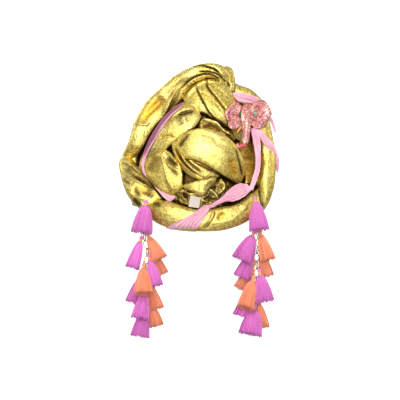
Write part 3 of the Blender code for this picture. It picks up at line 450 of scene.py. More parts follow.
# The camera stands straight in front, and the photograph is this wide at the turban's front
VIEW_WIDTH = 0.640
VIEW_CENTRE = (0.004, 0.024)
VIEW_PLANE = -0.08
LENS = 240
SENSOR = 36
FLOOR = -0.225

# Colours of the lame: light, deep, painted warm reflection, painted shade. Of the jersey: light, shade,
# painted shade. Of thread: light, shade.
GOLD_COLOURS = ((1.0, 0.86, 0.33), (0.90, 0.72, 0.21), (0.84, 0.45, 0.03), (0.12, 0.055, 0.01))
PINK_COLOURS = ((0.95, 0.61, 0.70), (0.91, 0.48, 0.59), (0.24, 0.045, 0.09))
THREAD_COLOURS = {
    "orchid": ((0.90, 0.32, 0.76), (0.66, 0.13, 0.52)), "peach": ((1.0, 0.48, 0.30), (0.86, 0.26, 0.12)),
    "binding": ((0.88, 0.52, 0.22), (0.70, 0.36, 0.12)),
}
# columns: tint, colour
STONE_COLOURS = (
    (0.0, (0.28, 0.04, 0.07)), (0.20, (0.80, 0.18, 0.12)), (0.42, (0.80, 0.20, 0.30)),
    (0.60, (0.85, 0.42, 0.52)), (0.78, (0.66, 0.56, 0.66)), (1.0, (1.0, 1.0, 1.0)),
)

WORLD_STRENGTH = 0.49
VIEW_GAMMA = 0.86
# columns: name, place, height it points at on the turban's axis, size, power
LIGHTS = (
    ("key", (-0.5, -2.6, 1.9), 0.05, (1.0, 1.0), 33), ("front", (0.2, -3.0, 0.0), 0.03, (2.0, 2.0), 82),
    ("right", (2.6, 0.4, 1.2), 0.05, (1.0, 1.4), 14), ("left", (-2.6, 0.4, 1.2), 0.05, (1.0, 1.4), 14),
    ("top", (0.0, 0.5, 2.2), 0.1, (1.4, 1.4), 3), ("back", (-0.9, 2.6, 1.5), 0.05, (1.8, 1.8), 44),
)


def crown_front(x, z, lift):
    left = 1 - (x / (CROWN_HALF_WIDTH + lift)) ** 2
    left -= ((z - CROWN_MIDDLE) / (CROWN_HALF_HEIGHT + lift)) ** 2
    return -(CROWN_HALF_DEPTH + lift) * np.sqrt((left + np.sqrt(left**2 + EDGE_EASE)) / 2)


def ring_front(x, z, lift):
    return -RING_FRONT + RING_LEAN * z + RING_SWEEP * x**2 - lift


def world_front(x, z, lift):
    return -lift + 0 * x


def unit(vectors):
    return vectors / np.maximum(np.linalg.norm(vectors, axis=-1, keepdims=True), 1e-12)


def smooth(low, high, value):
    t = np.clip((value - low) / (high - low), 0, 1)
    return t * t * (3 - 2 * t)


def circle(count, shift=0.0):
    return 2 * np.pi * (np.arange(count) + shift) / count


def wheel(turn, side, up):
    """Directions at these angles, from side towards up."""
    return np.cos(turn)[:, None] * side[..., None, :] + np.sin(turn)[:, None] * up[..., None, :]


def reach_of(path):
    """How far along a path each of its points lies."""
    return np.concatenate([[0], np.cumsum(np.linalg.norm(np.diff(path, axis=0), axis=1))])


def between(a, b, c, d, t):
    """A smooth curve from b to c, where a and d are the points before and after them."""
    return 0.5 * (2 * b + (c - a) * t + (2 * a - 5 * b + 4 * c - d) * t**2 + (3 * b - a - 3 * c + d) * t**3)


def spread(rows, stations):
    """Reads a table at these stations of a smooth curve through its rows."""
    rows = np.array(rows, float)
    ends = np.vstack([2 * rows[0] - rows[1], rows, 2 * rows[-1] - rows[-2]])
    first = np.clip(stations.astype(int), 0, len(rows) - 2)
    return between(*(ends[first + k] for k in range(4)), (stations - first)[:, None])


def rounded(outline, count):
    """A smooth closed curve through an outline's points."""
    points = np.array(outline, float)
    stations = np.arange(count) * len(points) / count
    first = stations.astype(int)
    return between(*(points[(first + k - 1) % len(points)] for k in range(4)), (stations - first)[:, None])


def ripple(points, wavelength, seed, count=14):
    """Smooth noise of about unit size: waves of random directions and phases."""
    random = np.random.RandomState(seed)
    total = np.zeros(points.shape[:-1])
    for _ in range(count):
        direction = unit(random.normal(size=points.shape[-1]))
        pace = 2 * np.pi / wavelength * random.uniform(0.6, 1.6)
        total += np.sin(points @ direction * pace + random.uniform(0, 2 * np.pi))
    return total / math.sqrt(count / 2)


def fold_push(points, folds):
    """How far fold lines push each point out, and how much of it is crease, valley and ridge, for painted
    shade and a painted warm reflection.
    """
    push, crease, valley, ridge = np.zeros((4,) + points.shape[:-1])
    flat = points[..., [0, 2]]
    for half_width, depth, sharp, tail, *line in folds:
        line = spread(line, np.linspace(0, len(line) - 1, 6 * len(line))) * MM
        reach = reach_of(line)
        nearest = np.full(push.shape, 1e9)
        place = np.zeros(push.shape)
        left = np.zeros(push.shape)
        for k in range(len(line) - 1):
            run = line[k + 1] - line[k]
            away = flat - line[k]
            t = np.clip((away @ run) / (run @ run), 0, 1)
            side = run[0] * away[..., 1] - run[1] * away[..., 0]
            gap = np.linalg.norm(away - t[..., None] * run, axis=-1)
            closer = gap < nearest
            nearest = np.where(closer, gap, nearest)
            left = np.where(closer, side, left)
            place = np.where(closer, (reach[k] + t * (reach[k + 1] - reach[k])) / reach[-1], place)
        width = half_width + np.where(left * tail > 0, abs(tail) - half_width, 0) if tail else half_width
        ratio = nearest / (width * MM)
        round_form = np.exp(-(ratio**2))
        sharp_form = np.exp(-(np.sqrt(ratio**2 + TIP_ROUND) - TIP_DROP) * FLANK)
        ends = FOLD_END + (1 - FOLD_END) * smooth(0, FOLD_FADE, place) * smooth(0, FOLD_FADE, 1 - place)
        form = ends * (sharp * sharp_form + (1 - sharp) * round_form)
        push += depth * MM * form
        # Sharp creases take painted shade, round valleys a painted warm reflection
        if depth < 0 and sharp:
            crease = np.maximum(crease, ends * np.exp(-((0.6 * ratio) ** 2)) * min(-depth / FULL_CREASE, 1))
        elif depth < 0:
            valley = np.maximum(valley, form * min(-depth / FULL_VALLEY, 1))
        else:
            ridge = np.maximum(ridge, form * min(depth / FULL_VALLEY, 1))
    return push, crease, valley, ridge


def normals_of(rings):
    """Outward normals of a closed tube given as rings."""
    along = np.gradient(rings, axis=0)
    around = np.roll(rings, -1, axis=1) - np.roll(rings, 1, axis=1)
    normal = unit(np.cross(around, along))
    return normal * np.sign(((rings - rings.mean(axis=1, keepdims=True)) * normal).sum(-1).mean())


def tube_surface(rings, squeeze):
    """Distances along and round a tube, the ones along it squeezed, and wrapped so that the seam meets."""
    middle = rings.mean(axis=1)
    centred = rings - middle[:, None]
    tangent = unit(np.gradient(middle, axis=0))[:, None]
    centred = centred - (centred * tangent).sum(-1, keepdims=True) * tangent
    along = np.broadcast_to((reach_of(middle) * squeeze)[:, None, None], rings.shape[:2] + (1,))
    return np.concatenate([centred, along], axis=-1)


def ring_faces(count, sides, closed=False):
    """Quads from each closed ring of points to the next, and if closed from the last to the first."""
    i, j = np.meshgrid(np.arange(count if closed else count - 1), np.arange(sides), indexing="ij")
    k = (j + 1) % sides
    n = (i + 1) % count
    quads = np.stack([i * sides + j, i * sides + k, n * sides + k, n * sides + j], axis=-1)
    return [tuple(face) for face in quads.reshape(-1, 4).tolist()]


def tube_faces(count, sides):
    """Quads between rings, and the two end rings as faces."""
    last = (count - 1) * sides
    return ring_faces(count, sides) + [tuple(range(sides))[::-1], tuple(range(last, last + sides))]


def outward(points, faces):
    """Turns the faces round if they face in."""
    total = sum(float(np.dot(points[a], np.cross(points[b], points[c]))) for a, b, c, *_ in faces)
    return faces if total > 0 else [face[::-1] for face in faces]


def new_object(name, points, faces, *materials):
    data = bpy.data.meshes.new(name)
    data.from_pydata([tuple(point) for point in points], [], faces)
    data.update()
    thing = bpy.data.objects.new(name, data)
    bpy.context.scene.collection.objects.link(thing)
    for material in materials:
        data.materials.append(material)
    data.shade_smooth()
    return thing


def tube_object(name, rings, material):
    points = rings.reshape(-1, 3)
    return new_object(name, points, outward(points, tube_faces(*rings.shape[:2])), material)


def paint(piece, **layers):
    """Keeps a value for each point of the mesh, which the materials read."""
    for key, values in layers.items():
        layer = piece.data.attributes.new(key, "FLOAT", "POINT")
        layer.data.foreach_set("value", values.reshape(-1).astype(np.float32))


def claim(piece, node):
    """The piece stays on the part's one body, in place of this node of the CAD part."""
    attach(piece, "root")
    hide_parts(node)


def strip_length(rows):
    rows = np.array(rows, float) * MM
    return reach_of((rows[:, 0:2] + rows[:, 2:4]) / 2)[-1]


def girth_of(rows):
    rows = np.array(rows, float) * MM
    half_width = np.hypot(rows[:, 0] - rows[:, 2], rows[:, 1] - rows[:, 3]) / 2
    return 2 * np.pi * np.sqrt((half_width**2 + rows[:, 5] ** 2) / 2).max()


def swathe(rows, seat, follow, pitch, girth, end_round, crisp=0.0):
    """The rings of a band or roll with rounded ends. A crisp one has flatter faces and sharper edges."""
    count = int(strip_length(rows) / pitch)
    share = 0.5 - 0.5 * np.cos(np.pi * np.arange(count) / (count - 1))
    share = 0.7 * np.linspace(0, 1, count) + 0.3 * share
    ax, az, bx, bz, proud, deep = (spread(rows, share * (len(rows) - 1)) * MM).T
    middle_y = seat((ax + bx) / 2, (az + bz) / 2, proud)
    a_y = middle_y + follow * (seat(ax, az, proud) - middle_y)
    b_y = middle_y + follow * (seat(bx, bz, proud) - middle_y)
    a = np.stack([ax, a_y, az], axis=1)
    b = np.stack([bx, b_y, bz], axis=1)
    middle = (a + b) / 2
    across = (b - a) / 2
    normal = unit(np.cross(unit(np.gradient(middle, axis=0)), across))
    normal *= np.where(normal[:, 1] > 0, -1.0, 1.0)[:, None]
    reach = reach_of(middle)
    near_end = np.clip(np.minimum(reach, reach[-1] - reach) / end_round, 0, 1)
    taper = np.sqrt(1 - (1 - near_end) ** 2).clip(0.04)
    turn = circle(int(girth / pitch))
    rise = np.abs(np.sin(turn))
    forward = np.sign(np.sin(turn)) * ((1 - crisp) * rise + crisp * rise**0.3)
    rings = middle[:, None] + (across * taper[:, None])[:, None] * np.cos(turn)[None, :, None]
    rings += (normal * (deep * taper)[:, None])[:, None] * forward[None, :, None]
    return rings, turn, share


def lengthwise_push(turn, share, folds):
    push = np.zeros((len(share), len(turn)))
    for place, width, depth, drift in folds:
        centre = place + drift * (share - 0.5)[:, None] + 0.35 * drift * np.sin(7 * share)[:, None]
        away = (np.degrees(turn)[None, :] - centre + 180) % 360 - 180
        push += depth * MM * np.exp(-np.abs(away) / width)
    return push


def cloth_piece(name, material, seed):
    """One gold piece: its swathe, the photo's fold lines, folds along it and small wrinkles."""
    rows = SWATHES[name]
    seat, follow, crisp = crown_front, DRAPE_FOLLOW.get(name, 0.8), DRAPE_CRISP
    if name in LENGTHWISE:
        seat, follow, crisp = ring_front, 0.0, ROLL_CRISP
    rings, turn, share = swathe(rows, seat, follow, CLOTH_PITCH, girth_of(rows), END_ROUND, crisp)
    normal = normals_of(rings)
    facing = smooth(-0.15, 0.35, -normal[..., 1])
    push, crease, valley, ridge = (form * facing for form in fold_push(rings, FOLDS.get(name, ())))
    # Painted shade along the edges where the cloth tucks in
    tucked_shade = smooth(0.93, 1.0, np.cos(turn) if follow == 0 else np.abs(np.cos(turn)))
    crumpled = CRUMPLED.get(name, 0)
    rumple = ripple(rings, CRUMPLE_LENGTH, seed + 2)
    push += crumpled * MM * (0.8 - np.abs(rumple)) * facing
    # Crumple ridges are left out of the painted shade, so they show bright
    ridge = np.maximum(ridge, np.exp(-((rumple / CRUMPLE_RIDGE) ** 2)) * min(crumpled, CRUMPLE_SHINE))
    # Cloth deep in the turban gets painted shade and a painted warm reflection all over
    painted_shade, warm_reflection = SHADED.get(name, (0, 0))
    crease = np.maximum(np.maximum(crease, 0.8 * tucked_shade), painted_shade * (1 - ridge))
    valley = np.maximum(valley, warm_reflection)
    push += lengthwise_push(turn, share, LENGTHWISE.get(name, ()))
    surface = tube_surface(rings, WRINKLE_SQUEEZE)
    fine = 0.4 * ripple(surface, FINE_LENGTH, seed + 1)
    push += WRINKLE * (ripple(surface, WRINKLE_LENGTH, seed) + fine)
    piece = tube_object(name + "_cloth", rings + normal * push[..., None], material)
    # The crease value carries painted shade and the valley value a painted warm reflection
    paint(piece, crease=crease, valley=valley)
    claim(piece, name)


def ribbon_piece(name, material, seed):
    """One pink band: a thin strip with folds along it, and painted shade in its folds, along its edges and
    on the shadowed half of the left band.
    """
    rows = RIBBONS[name]
    folds, height, flat_width, flat_length, rest = RIBBON_FACTS[name]
    seat = crown_front if name in ("ribbon_left", "ribbon_peek") else world_front
    rings, turn, share = swathe(rows, seat, 0.0, RIBBON_PITCH, girth_of(rows) * 1.6, RIBBON_END_ROUND)
    side = np.cos(turn)[None, :]
    front = np.sin(turn).clip(0)[None, :]
    phase = 1.2 * np.sin(4 * share + seed)[:, None]
    wave = np.cos(np.pi * folds * (side + 0.25 * np.sin(2.2 * side + phase)) + phase)
    ends = (smooth(0, 0.15, share) * smooth(0, RUN_OUT.get(name, 0.30), 1 - share))[:, None]
    push = height * MM * 0.5 * wave * ends * front**0.5
    push += RIBBON_RIPPLE * ripple(rings, 0.010, seed)
    # Painted shade in the folds' valleys and along the edges
    crease = 0.42 * np.clip(-wave - 0.35, 0, 1) * ends + 0.40 * smooth(0.90, 1.0, np.abs(side))
    if name == "ribbon_left":
        # Painted shadow over the half of the left band that the roll's ridge shades
        shaded = 0.8 * (1 - smooth(-0.10, 0.05, side)) * (1 - smooth(0.62, 0.80, share))[:, None]
        crease = np.maximum(crease, shaded)
        push += RAISED_HEM * np.exp(-(((side - 0.35) / 0.25) ** 2)) * front
    piece = tube_object(name + "_jersey", rings + normals_of(rings) * push[..., None], material)
    paint(piece, crease=crease)
    claim(piece, name)


class Look:
    """A material with a Principled shader. Its textures follow the object's own coordinates."""

    def __init__(self, name, sockets):
        self.material = bpy.data.materials.new(name)
        self.material.use_nodes = True
        self.tree = self.material.node_tree
        self.shader = self.tree.nodes["Principled BSDF"]
        for key, value in sockets.items():
            self.shader.inputs[key].default_value = value

    def node(self, kind, **values):
        node = self.tree.nodes.new("ShaderNode" + kind)
        for key, value in values.items():
            if hasattr(node, key):
                setattr(node, key, value)
            else:
                node.inputs[key.replace("_", " ").title()].default_value = value
        return node

    def texture(self, kind, output, **values):
        node = self.node("Tex" + kind, **values)
        self.tree.links.new(self.node("TexCoord").outputs["Object"], node.inputs["Vector"])
        return node.outputs[output]

    def painted(self, name):
        return self.node("Attribute", attribute_name=name).outputs["Fac"]

    def ramp(self, source, *stops):
        """A ramp over source. columns: place, colour or grey"""
        node = self.node("ValToRGB")
        elements = node.color_ramp.elements
        while len(elements) < len(stops):
            elements.new(0.5)
        for element, (place, colour) in zip(elements, stops):
            element.position = place
            element.color = (*colour, 1.0) if isinstance(colour, tuple) else (colour, colour, colour, 1.0)
        self.tree.links.new(source, node.inputs["Fac"])
        return node.outputs["Color"]

    def mixed(self, factor, first, second, blend="MIX"):
        node = self.node("Mix", data_type="RGBA", blend_type=blend)
        for socket, value in ((node.inputs[0], factor), (node.inputs[6], first), (node.inputs[7], second)):
            if isinstance(value, float):
                socket.default_value = value
            elif isinstance(value, tuple):
                socket.default_value = (*value, 1.0)
            else:
                self.tree.links.new(value, socket)
        return node.outputs[2]

    def feed(self, socket, source):
        self.tree.links.new(source, self.shader.inputs[socket])

    def tone(self, source, low, high, colour, share):
        """The colour where source is high, and this share of it where source is low."""
        darker = tuple(share * part for part in colour)
        self.feed("Base Color", self.ramp(source, (low, darker), (high, colour)))

    def bump(self, source, strength, distance):
        node = self.node("Bump", strength=strength, distance=distance)
        self.tree.links.new(source, node.inputs["Height"])
        self.feed("Normal", node.outputs["Normal"])


def lame_material(name, light, deep, warm_reflection, painted_dark):
    """Knitted lame: foil with a glitter grain, a painted warm reflection in folds' valleys and painted shade
    in creases.
    """
    look = Look(name, {"Metallic": 1.0})
    grain = look.texture("Voronoi", "Color", scale=760.0)
    speck = look.texture("Voronoi", "Color", scale=480.0)
    drift = look.texture("Noise", "Fac", scale=26.0, detail=3.0)
    colour = look.ramp(drift, (0.38, deep), (0.62, light))
    # The valley value paints a warm reflection of gold on gold into the base colour
    colour = look.mixed(look.ramp(look.painted("valley"), (0.1, 0.0), (1.0, 0.78)), colour, warm_reflection)
    # The crease value paints shade into the base colour
    colour = look.mixed(look.ramp(look.painted("crease"), (0.15, 0.0), (0.8, 0.9)), colour, painted_dark)
    grains = look.ramp(grain, (0.1, (0.38, 0.34, 0.24)), (0.6, 1.0))
    specks = look.ramp(speck, (0.1, (0.55, 0.52, 0.42)), (0.5, 1.0))
    colour = look.mixed(GLITTER, colour, grains, "MULTIPLY")
    look.feed("Base Color", look.mixed(GLITTER, colour, specks, "MULTIPLY"))
    look.feed("Roughness", look.ramp(grain, (0.1, 0.36), (0.8, 0.52)))
    look.bump(look.texture("Noise", "Fac", scale=620.0, detail=1.0), 0.5, 0.0012)
    return look.material


def jersey_material(name, light, shade, painted_dark):
    """Pink jersey: a soft matt knit, with painted shade in its folds and wherever else the crease value
    marks it.
    """
    sheen = {"Sheen Weight": 0.35, "Sheen Roughness": 0.4, "Sheen Tint": (1.0, 0.85, 0.95, 1.0)}
    look = Look(name, {"Roughness": 0.7, **sheen})
    knit = look.texture("Noise", "Fac", scale=900.0, detail=2.0)
    drift = look.texture("Noise", "Fac", scale=70.0, detail=2.0)
    # The crease value paints shade into the base colour
    colour = look.mixed(look.painted("crease"), look.ramp(drift, (0.3, shade), (0.65, light)), painted_dark)
    fine = look.ramp(knit, (0.3, (0.86, 0.80, 0.84)), (0.6, 1.0))
    look.feed("Base Color", look.mixed(0.7, colour, fine, "MULTIPLY"))
    look.bump(knit, 0.3, 0.0004)
    return look.material


def thread_material(name, light, shade):
    """Tassel thread: matt cotton, each strand lighter or darker by its own tint: partly random, partly
    painted shade on strands further in.
    """
    look = Look(name, {"Roughness": 0.65, "Sheen Weight": 0.3})
    look.feed("Base Color", look.ramp(look.painted("tint"), (0.0, shade), (1.0, light)))
    look.bump(look.texture("Noise", "Fac", scale=1400.0, detail=1.0), 0.25, 0.0003)
    return look.material


def metal_material(name, colour, roughness):
    look = Look(name, {"Metallic": 1.0})
    wear = look.texture("Noise", "Fac", scale=260.0, detail=4.0)
    look.tone(wear, 0.35, 0.6, colour, 0.72)
    look.feed("Roughness", look.ramp(wear, (0.3, roughness * 0.8), (0.7, roughness * 1.5)))
    return look.material


def pave_material(name):
    """Small crystals: each stone's own tint picks pink, coral, rose or clear."""
    coat = {"Coat Weight": 1.0, "Coat Roughness": 0.03}
    look = Look(name, {"Roughness": 0.08, "Metallic": 0.25, "IOR": 1.8, **coat})
    look.feed("Base Color", look.ramp(look.painted("tint"), *STONE_COLOURS))
    return look.material


def gem_material(name, colour):
    look = Look(name, {"Roughness": 0.04, "IOR": 1.9, "Coat Weight": 1.0, "Coat Roughness": 0.02})
    look.tone(look.texture("Noise", "Fac", scale=320.0, detail=1.0), 0.4, 0.6, colour, 0.35)
    return look.material


def woven_material(name, colour):
    look = Look(name, {"Roughness": 0.75})
    weave = look.texture("Wave", "Fac", scale=600.0, distortion=0.6, bands_direction="Z")
    look.tone(weave, 0.2, 0.6, colour, 0.88)
    look.bump(weave, 0.3, 0.0002)
    return look.material


def stage_material(name):
    """Pale paper that glows a little more behind the turban than in front."""
    look = Look(name, {"Base Color": (0.60, 0.60, 0.60, 1.0), "Roughness": 0.9, "Emission Strength": 1.0})
    split = look.node("SeparateXYZ")
    look.tree.links.new(look.node("TexCoord").outputs["Object"], split.inputs[0])
    scale = look.node("MapRange", from_min=-0.9, from_max=0.8)
    look.tree.links.new(split.outputs["Y"], scale.inputs["Value"])
    look.feed("Emission Color", look.ramp(scale.outputs["Result"], (0.0, 0.75), (1.0, 0.95)))
    return look.material


class Parts:
    """Meshes gathered into one object, each part with its own material and tint."""

    def __init__(self):
        self.points, self.faces, self.slots, self.tints = [], [], [], []
        self.count = 0

    def add(self, points, faces, slot=0, tint=0.5):
        self.points.append(np.asarray(points, float).reshape(-1, 3))
        self.faces += [tuple(int(index) + self.count for index in face) for face in faces]
        self.slots += [slot] * len(faces)
        self.tints.append(np.broadcast_to(tint, len(self.points[-1])))
        self.count += len(self.points[-1])

    def add_rings(self, rings, slot=0, tint=0.5):
        rings = np.array(rings)
        points = rings.reshape(-1, 3)
        self.add(points, outward(points, tube_faces(*rings.shape[:2])), slot, tint)

    def build(self, name, materials, sharp_from=None):
        thing = new_object(name, np.concatenate(self.points), self.faces, *materials)
        thing.data.polygons.foreach_set("material_index", self.slots)
        paint(thing, tint=np.concatenate(self.tints))
        if sharp_from:
            thing.data.set_sharp_from_angle(angle=math.radians(sharp_from))
        return thing


def tube(path, radius, sides):
    """Rings of a round tube along a path. The radius may differ from point to point."""
    tangent = unit(np.gradient(path, axis=0))
    helper = np.array([0.0, -1.0, 0.0]) if abs(tangent[:, 1]).max() < 0.9 else np.array([1.0, 0.0, 0.0])
    side = unit(np.cross(tangent, helper))
    ring = wheel(circle(sides), side, np.cross(tangent, side))
    return path[:, None] + ring * np.broadcast_to(radius, len(path))[:, None, None]


def tassel_piece(name, row, materials, seed):
    """A thread-covered bead, a wound collar, a skirt of separate strands and a small ring."""
    random = np.random.RandomState(seed)
    bead, hem, half_width = np.array(row[1:4]) * MM, np.array(row[4:7]) * MM, row[7] * MM
    length = np.linalg.norm(hem - bead)
    down = (hem - bead) / length
    side = unit(np.cross(down, [0.0, -1.0, 0.0]))
    out = np.cross(down, side)
    parts = Parts()
    turn = circle(20)

    def lathe(profile, slot, tint, ribs=0.0, flatness=1.0):
        section = wheel(turn, side, out * flatness) * (1 + ribs * np.cos(10 * turn))[:, None]
        rings = [bead + (down * below + section * radius) * MM for below, radius in profile]
        parts.add_rings(rings, slot, tint)

    arc = np.linspace(0.12, np.pi - 0.5, 9)
    lathe([(3.2 - 3.2 * math.cos(a), 3.4 * math.sin(a)) for a in arc], 0, 0.7, 0.03)
    lathe([(5.6 + 0.32 * k, 2.45 + 0.05 * k + (0.22 if k % 2 else 0.0)) for k in range(17)], 1, 0.5)
    tall, wide = length / MM, half_width / MM
    core = [(9.5, wide * 0.22), (tall * 0.35, wide * 0.52)]
    core += [(tall * 0.6, wide * 0.70), (tall * 0.94, wide * 0.86)]
    # The core is tinted dark, a painted shade of the inside of the skirt
    lathe(core, 0, 0.15, flatness=TASSEL_FLATNESS)

    steps = np.linspace(0, 1, 8)
    spreading = np.interp(steps, [0, 0.1, 0.3, 0.6, 1], [0.26, 0.46, 0.66, 0.86, 1])
    locks = random.uniform(0, 2 * np.pi, 7)
    for k in range(STRANDS):
        at = 2 * np.pi * (k + random.uniform(-0.4, 0.4)) / STRANDS
        depth = math.sqrt(random.uniform(0.55, 1.0))
        lock = 0.035 * np.sin(7 * at + locks[0]) + 0.03 * np.sin(11 * at + locks[1])
        end = length * (1.0 + random.uniform(-0.03, 0.01) + 0.3 * lock)
        wander = random.uniform(-0.06, 0.06)
        angle = at + wander * steps + 0.35 * lock * steps
        wide = (half_width - STRAND_RADIUS) * spreading * (depth * (1 + lock * steps))
        path = bead + down * (STRAND_TOP + (end - STRAND_TOP) * steps)[:, None]
        path = path + wheel(angle, side, out * TASSEL_FLATNESS) * wide[:, None]
        # A strand's tint is random, with painted shade on the strands that lie further in
        shade = np.clip(0.25 + 0.75 * random.uniform() * depth, 0, 1)
        parts.add(tube(path, STRAND_RADIUS * (1 - 0.35 * steps), 4), tube_faces(8, 4), 0, shade)

    loop_side = unit(side + 0.6 * out)
    away = wheel(turn, loop_side, down)
    section = wheel(circle(8), away, np.cross(loop_side, down))
    ring = bead - down * 1.2 * MM + (away * 2.0 * MM)[:, None] + section * 0.45 * MM
    parts.add(ring, ring_faces(20, 8, closed=True), 2)
    claim(parts.build(name + "_thread", materials), name)


def brooch_point(across, up, relief):
    x, z = np.asarray(across) * MM, np.asarray(up) * MM
    plate = -BROOCH_FRONT + BROOCH_TURN * (x - BROOCH_MIDDLE[0]) + BROOCH_LEAN * (z - BROOCH_MIDDLE[1])
    return np.stack([x, plate - np.asarray(relief) * MM, z], axis=-1)


def plate_height(relief_rows, share):
    """The height of a plate's front where its outline is drawn in to share."""
    rows = sorted((s, h) for h, s in relief_rows[1:])
    return np.interp(share, [row[0] for row in rows], [row[1] for row in rows])


def add_plate(parts, outline, relief_rows):
    curve = rounded(outline, 72)
    centre = curve.mean(axis=0)
    shares = [relief_rows[0][1], 1.0] + list(np.linspace(0.985, 0.04, 14))
    heights = [relief_rows[0][0], relief_rows[1][0] - 0.4]
    heights += [plate_height(relief_rows, share) for share in shares[2:]]
    rings = []
    for share, height in zip(shares, heights):
        ring = centre + (curve - centre) * share
        rings.append(brooch_point(ring[:, 0], ring[:, 1], np.full(len(ring), height)))
    parts.add_rings(rings)


def inside(outline, points):
    """Whether each point lies in the outline."""
    curve = rounded(outline, 72)
    hit = np.zeros(len(points), bool)
    for (x0, z0), (x1, z1) in zip(curve, np.roll(curve, -1, axis=0)):
        crosses = (z0 > points[:, 1]) != (z1 > points[:, 1])
        at = x0 + (points[:, 1] - z0) * (x1 - x0) / (z1 - z0 + 1e-12)
        hit ^= crosses & (points[:, 0] < at)
    return hit


def share_of(outline, points):
    """How far out each point lies, as a share of the outline's reach in its direction."""
    curve = rounded(outline, 360)
    centre = curve.mean(axis=0)
    bearing = np.arctan2(curve[:, 1] - centre[1], curve[:, 0] - centre[0])
    order = np.argsort(bearing)
    reach = np.linalg.norm(curve - centre, axis=1)[order]
    own = np.arctan2(points[:, 1] - centre[1], points[:, 0] - centre[0])
    return np.linalg.norm(points - centre, axis=1) / np.interp(own, bearing[order], reach, period=2 * np.pi)


def add_stone(parts, middle, normal, tint, spin):
    """A small cut stone: table, eight crown facets and a girdle."""
    side = unit(np.cross(normal, [0.2, 0.1, 1.0]))
    around = wheel(circle(8, spin), side, np.cross(normal, side)) * PAVE_RADIUS * MM
    up = normal * PAVE_RADIUS * MM
    rings = [around - up * 0.3, around, around * 0.56 + up * 0.42]
    faces = [tuple(range(16, 24))]
    for k in range(8):
        n = (k + 1) % 8
        faces.append((8 + k, 8 + n, 16 + n, 16 + k))
        faces.append((k, n, 8 + n, 8 + k))
    parts.add(middle + np.concatenate(rings), faces, 1, tint)


def pave(parts, outline, relief_rows, avoid, random):
    """Rows of small stones over a plate."""
    low = np.array(outline).min(axis=0)
    high = np.array(outline).max(axis=0)
    spots = []
    row = 0
    z = low[1]
    while z < high[1]:
        x = low[0] + (PAVE_PITCH / 2 if row % 2 else 0)
        while x < high[0]:
            spots.append((x + random.uniform(-0.12, 0.12), z + random.uniform(-0.12, 0.12)))
            x += PAVE_PITCH
        z += PAVE_PITCH * 0.86
        row += 1
    spots = np.array(spots)
    spots = spots[inside(outline, spots)]
    centre = np.array(outline, float).mean(axis=0)
    for (x, z), share in zip(spots, share_of(outline, spots)):
        if share >= PAVE_EDGE or any(inside(other, np.array([(x, z)]))[0] for other in avoid):
            continue
        if any(math.hypot((x - ex) / EYE_ROOM[0], (z - ez) / EYE_ROOM[1]) < 1 for ex, ez in EYES.values()):
            continue
        height = float(plate_height(relief_rows, share))
        slope = (float(plate_height(relief_rows, min(share + 0.03, 1.0))) - height) / (0.03 * 16)
        bearing = unit(np.array([x - centre[0], z - centre[1]]))
        normal = unit(np.array([-slope * bearing[0], -1.0, -slope * bearing[1]]))
        normal = unit(normal + np.array([BROOCH_TURN, 0, BROOCH_LEAN]))
        tint = random.beta(*TINT_SPREAD)
        add_stone(parts, brooch_point(x, z, height + 0.15), normal, tint, random.uniform(0, 1))


def brooch_piece(materials):
    """The elephant's head: gold plates with pave stones, and a stone-set trunk that ends in coral enamel."""
    random = np.random.RandomState(40)
    parts = Parts()
    plates = ((EAR_LEFT, EAR_RELIEF, (HEAD,)), (EAR_RIGHT, EAR_RELIEF, (HEAD,)), (HEAD, HEAD_RELIEF, ()))
    for outline, relief, _ in plates:
        add_plate(parts, outline, relief)
    for outline, relief, avoid in plates:
        pave(parts, outline, relief, avoid, random)
    rows = spread(TRUNK, np.linspace(0, len(TRUNK) - 1, TRUNK_RINGS))
    path = brooch_point(rows[:, 0], rows[:, 1], rows[:, 2])
    points = tube(path, rows[:, 3] * MM, TRUNK_SIDES).reshape(-1, 3)
    faces = outward(points, tube_faces(TRUNK_RINGS, TRUNK_SIDES))
    enamel = TRUNK_ENAMEL * TRUNK_SIDES
    parts.add(points, [face for face in faces if min(face) < enamel], 0)
    parts.add(points, [face for face in faces if min(face) >= enamel], 2)
    tangent = unit(np.gradient(path, axis=0))
    reach = reach_of(path)
    pitch = PAVE_PITCH * 0.88 * MM
    for i in range(1, int(reach[TRUNK_ENAMEL] / pitch)):
        k = int(np.searchsorted(reach, i * pitch))
        side = unit(np.cross(tangent[k], [0.0, -1.0, 0.0]))
        out = unit(np.cross(side, tangent[k]))
        out = out if out[1] < 0 else -out
        radius = rows[k, 3] * MM
        count = max(int(np.pi * radius / (PAVE_PITCH * MM)), 2)
        for j in range(count + 1):
            angle = np.pi * (j + (0.5 if i % 2 else 0.0)) / count
            away = side * math.cos(angle) + out * math.sin(angle)
            tint = random.beta(*TINT_SPREAD)
            add_stone(parts, path[k] + away * (radius + 0.1 * MM), away, tint, random.uniform())
    claim(parts.build("brooch_head", materials, sharp_from=28), "brooch_body")


def eye_piece(name, materials):
    """An oval cut stone in a fine gold rim."""
    parts = Parts()

    def oval(turn, more, share, height):
        x = EYES[name][0] + np.cos(turn) * (STONE_HALF_WIDTH + more) * share
        z = EYES[name][1] + np.sin(turn) * (STONE_HALF_HEIGHT + more) * share
        return brooch_point(x, z, np.full(len(turn), height))

    facets = ((2.6, 0.8), (4.6, 1.0), (5.2, 1.0), (6.1, 0.82), (6.7, 0.55))
    parts.add_rings([oval(circle(16, 0.5), -0.45, share, height) for height, share in facets])
    rim = []
    for roll in circle(8):
        rim.append(oval(circle(40), 0.35 * math.cos(roll) - 0.3, 1.0, 4.9 + 0.45 * math.sin(roll)))
    parts.add(rim, ring_faces(8, 40, closed=True), 1)
    claim(parts.build(name + "_gem", materials, sharp_from=20), name)


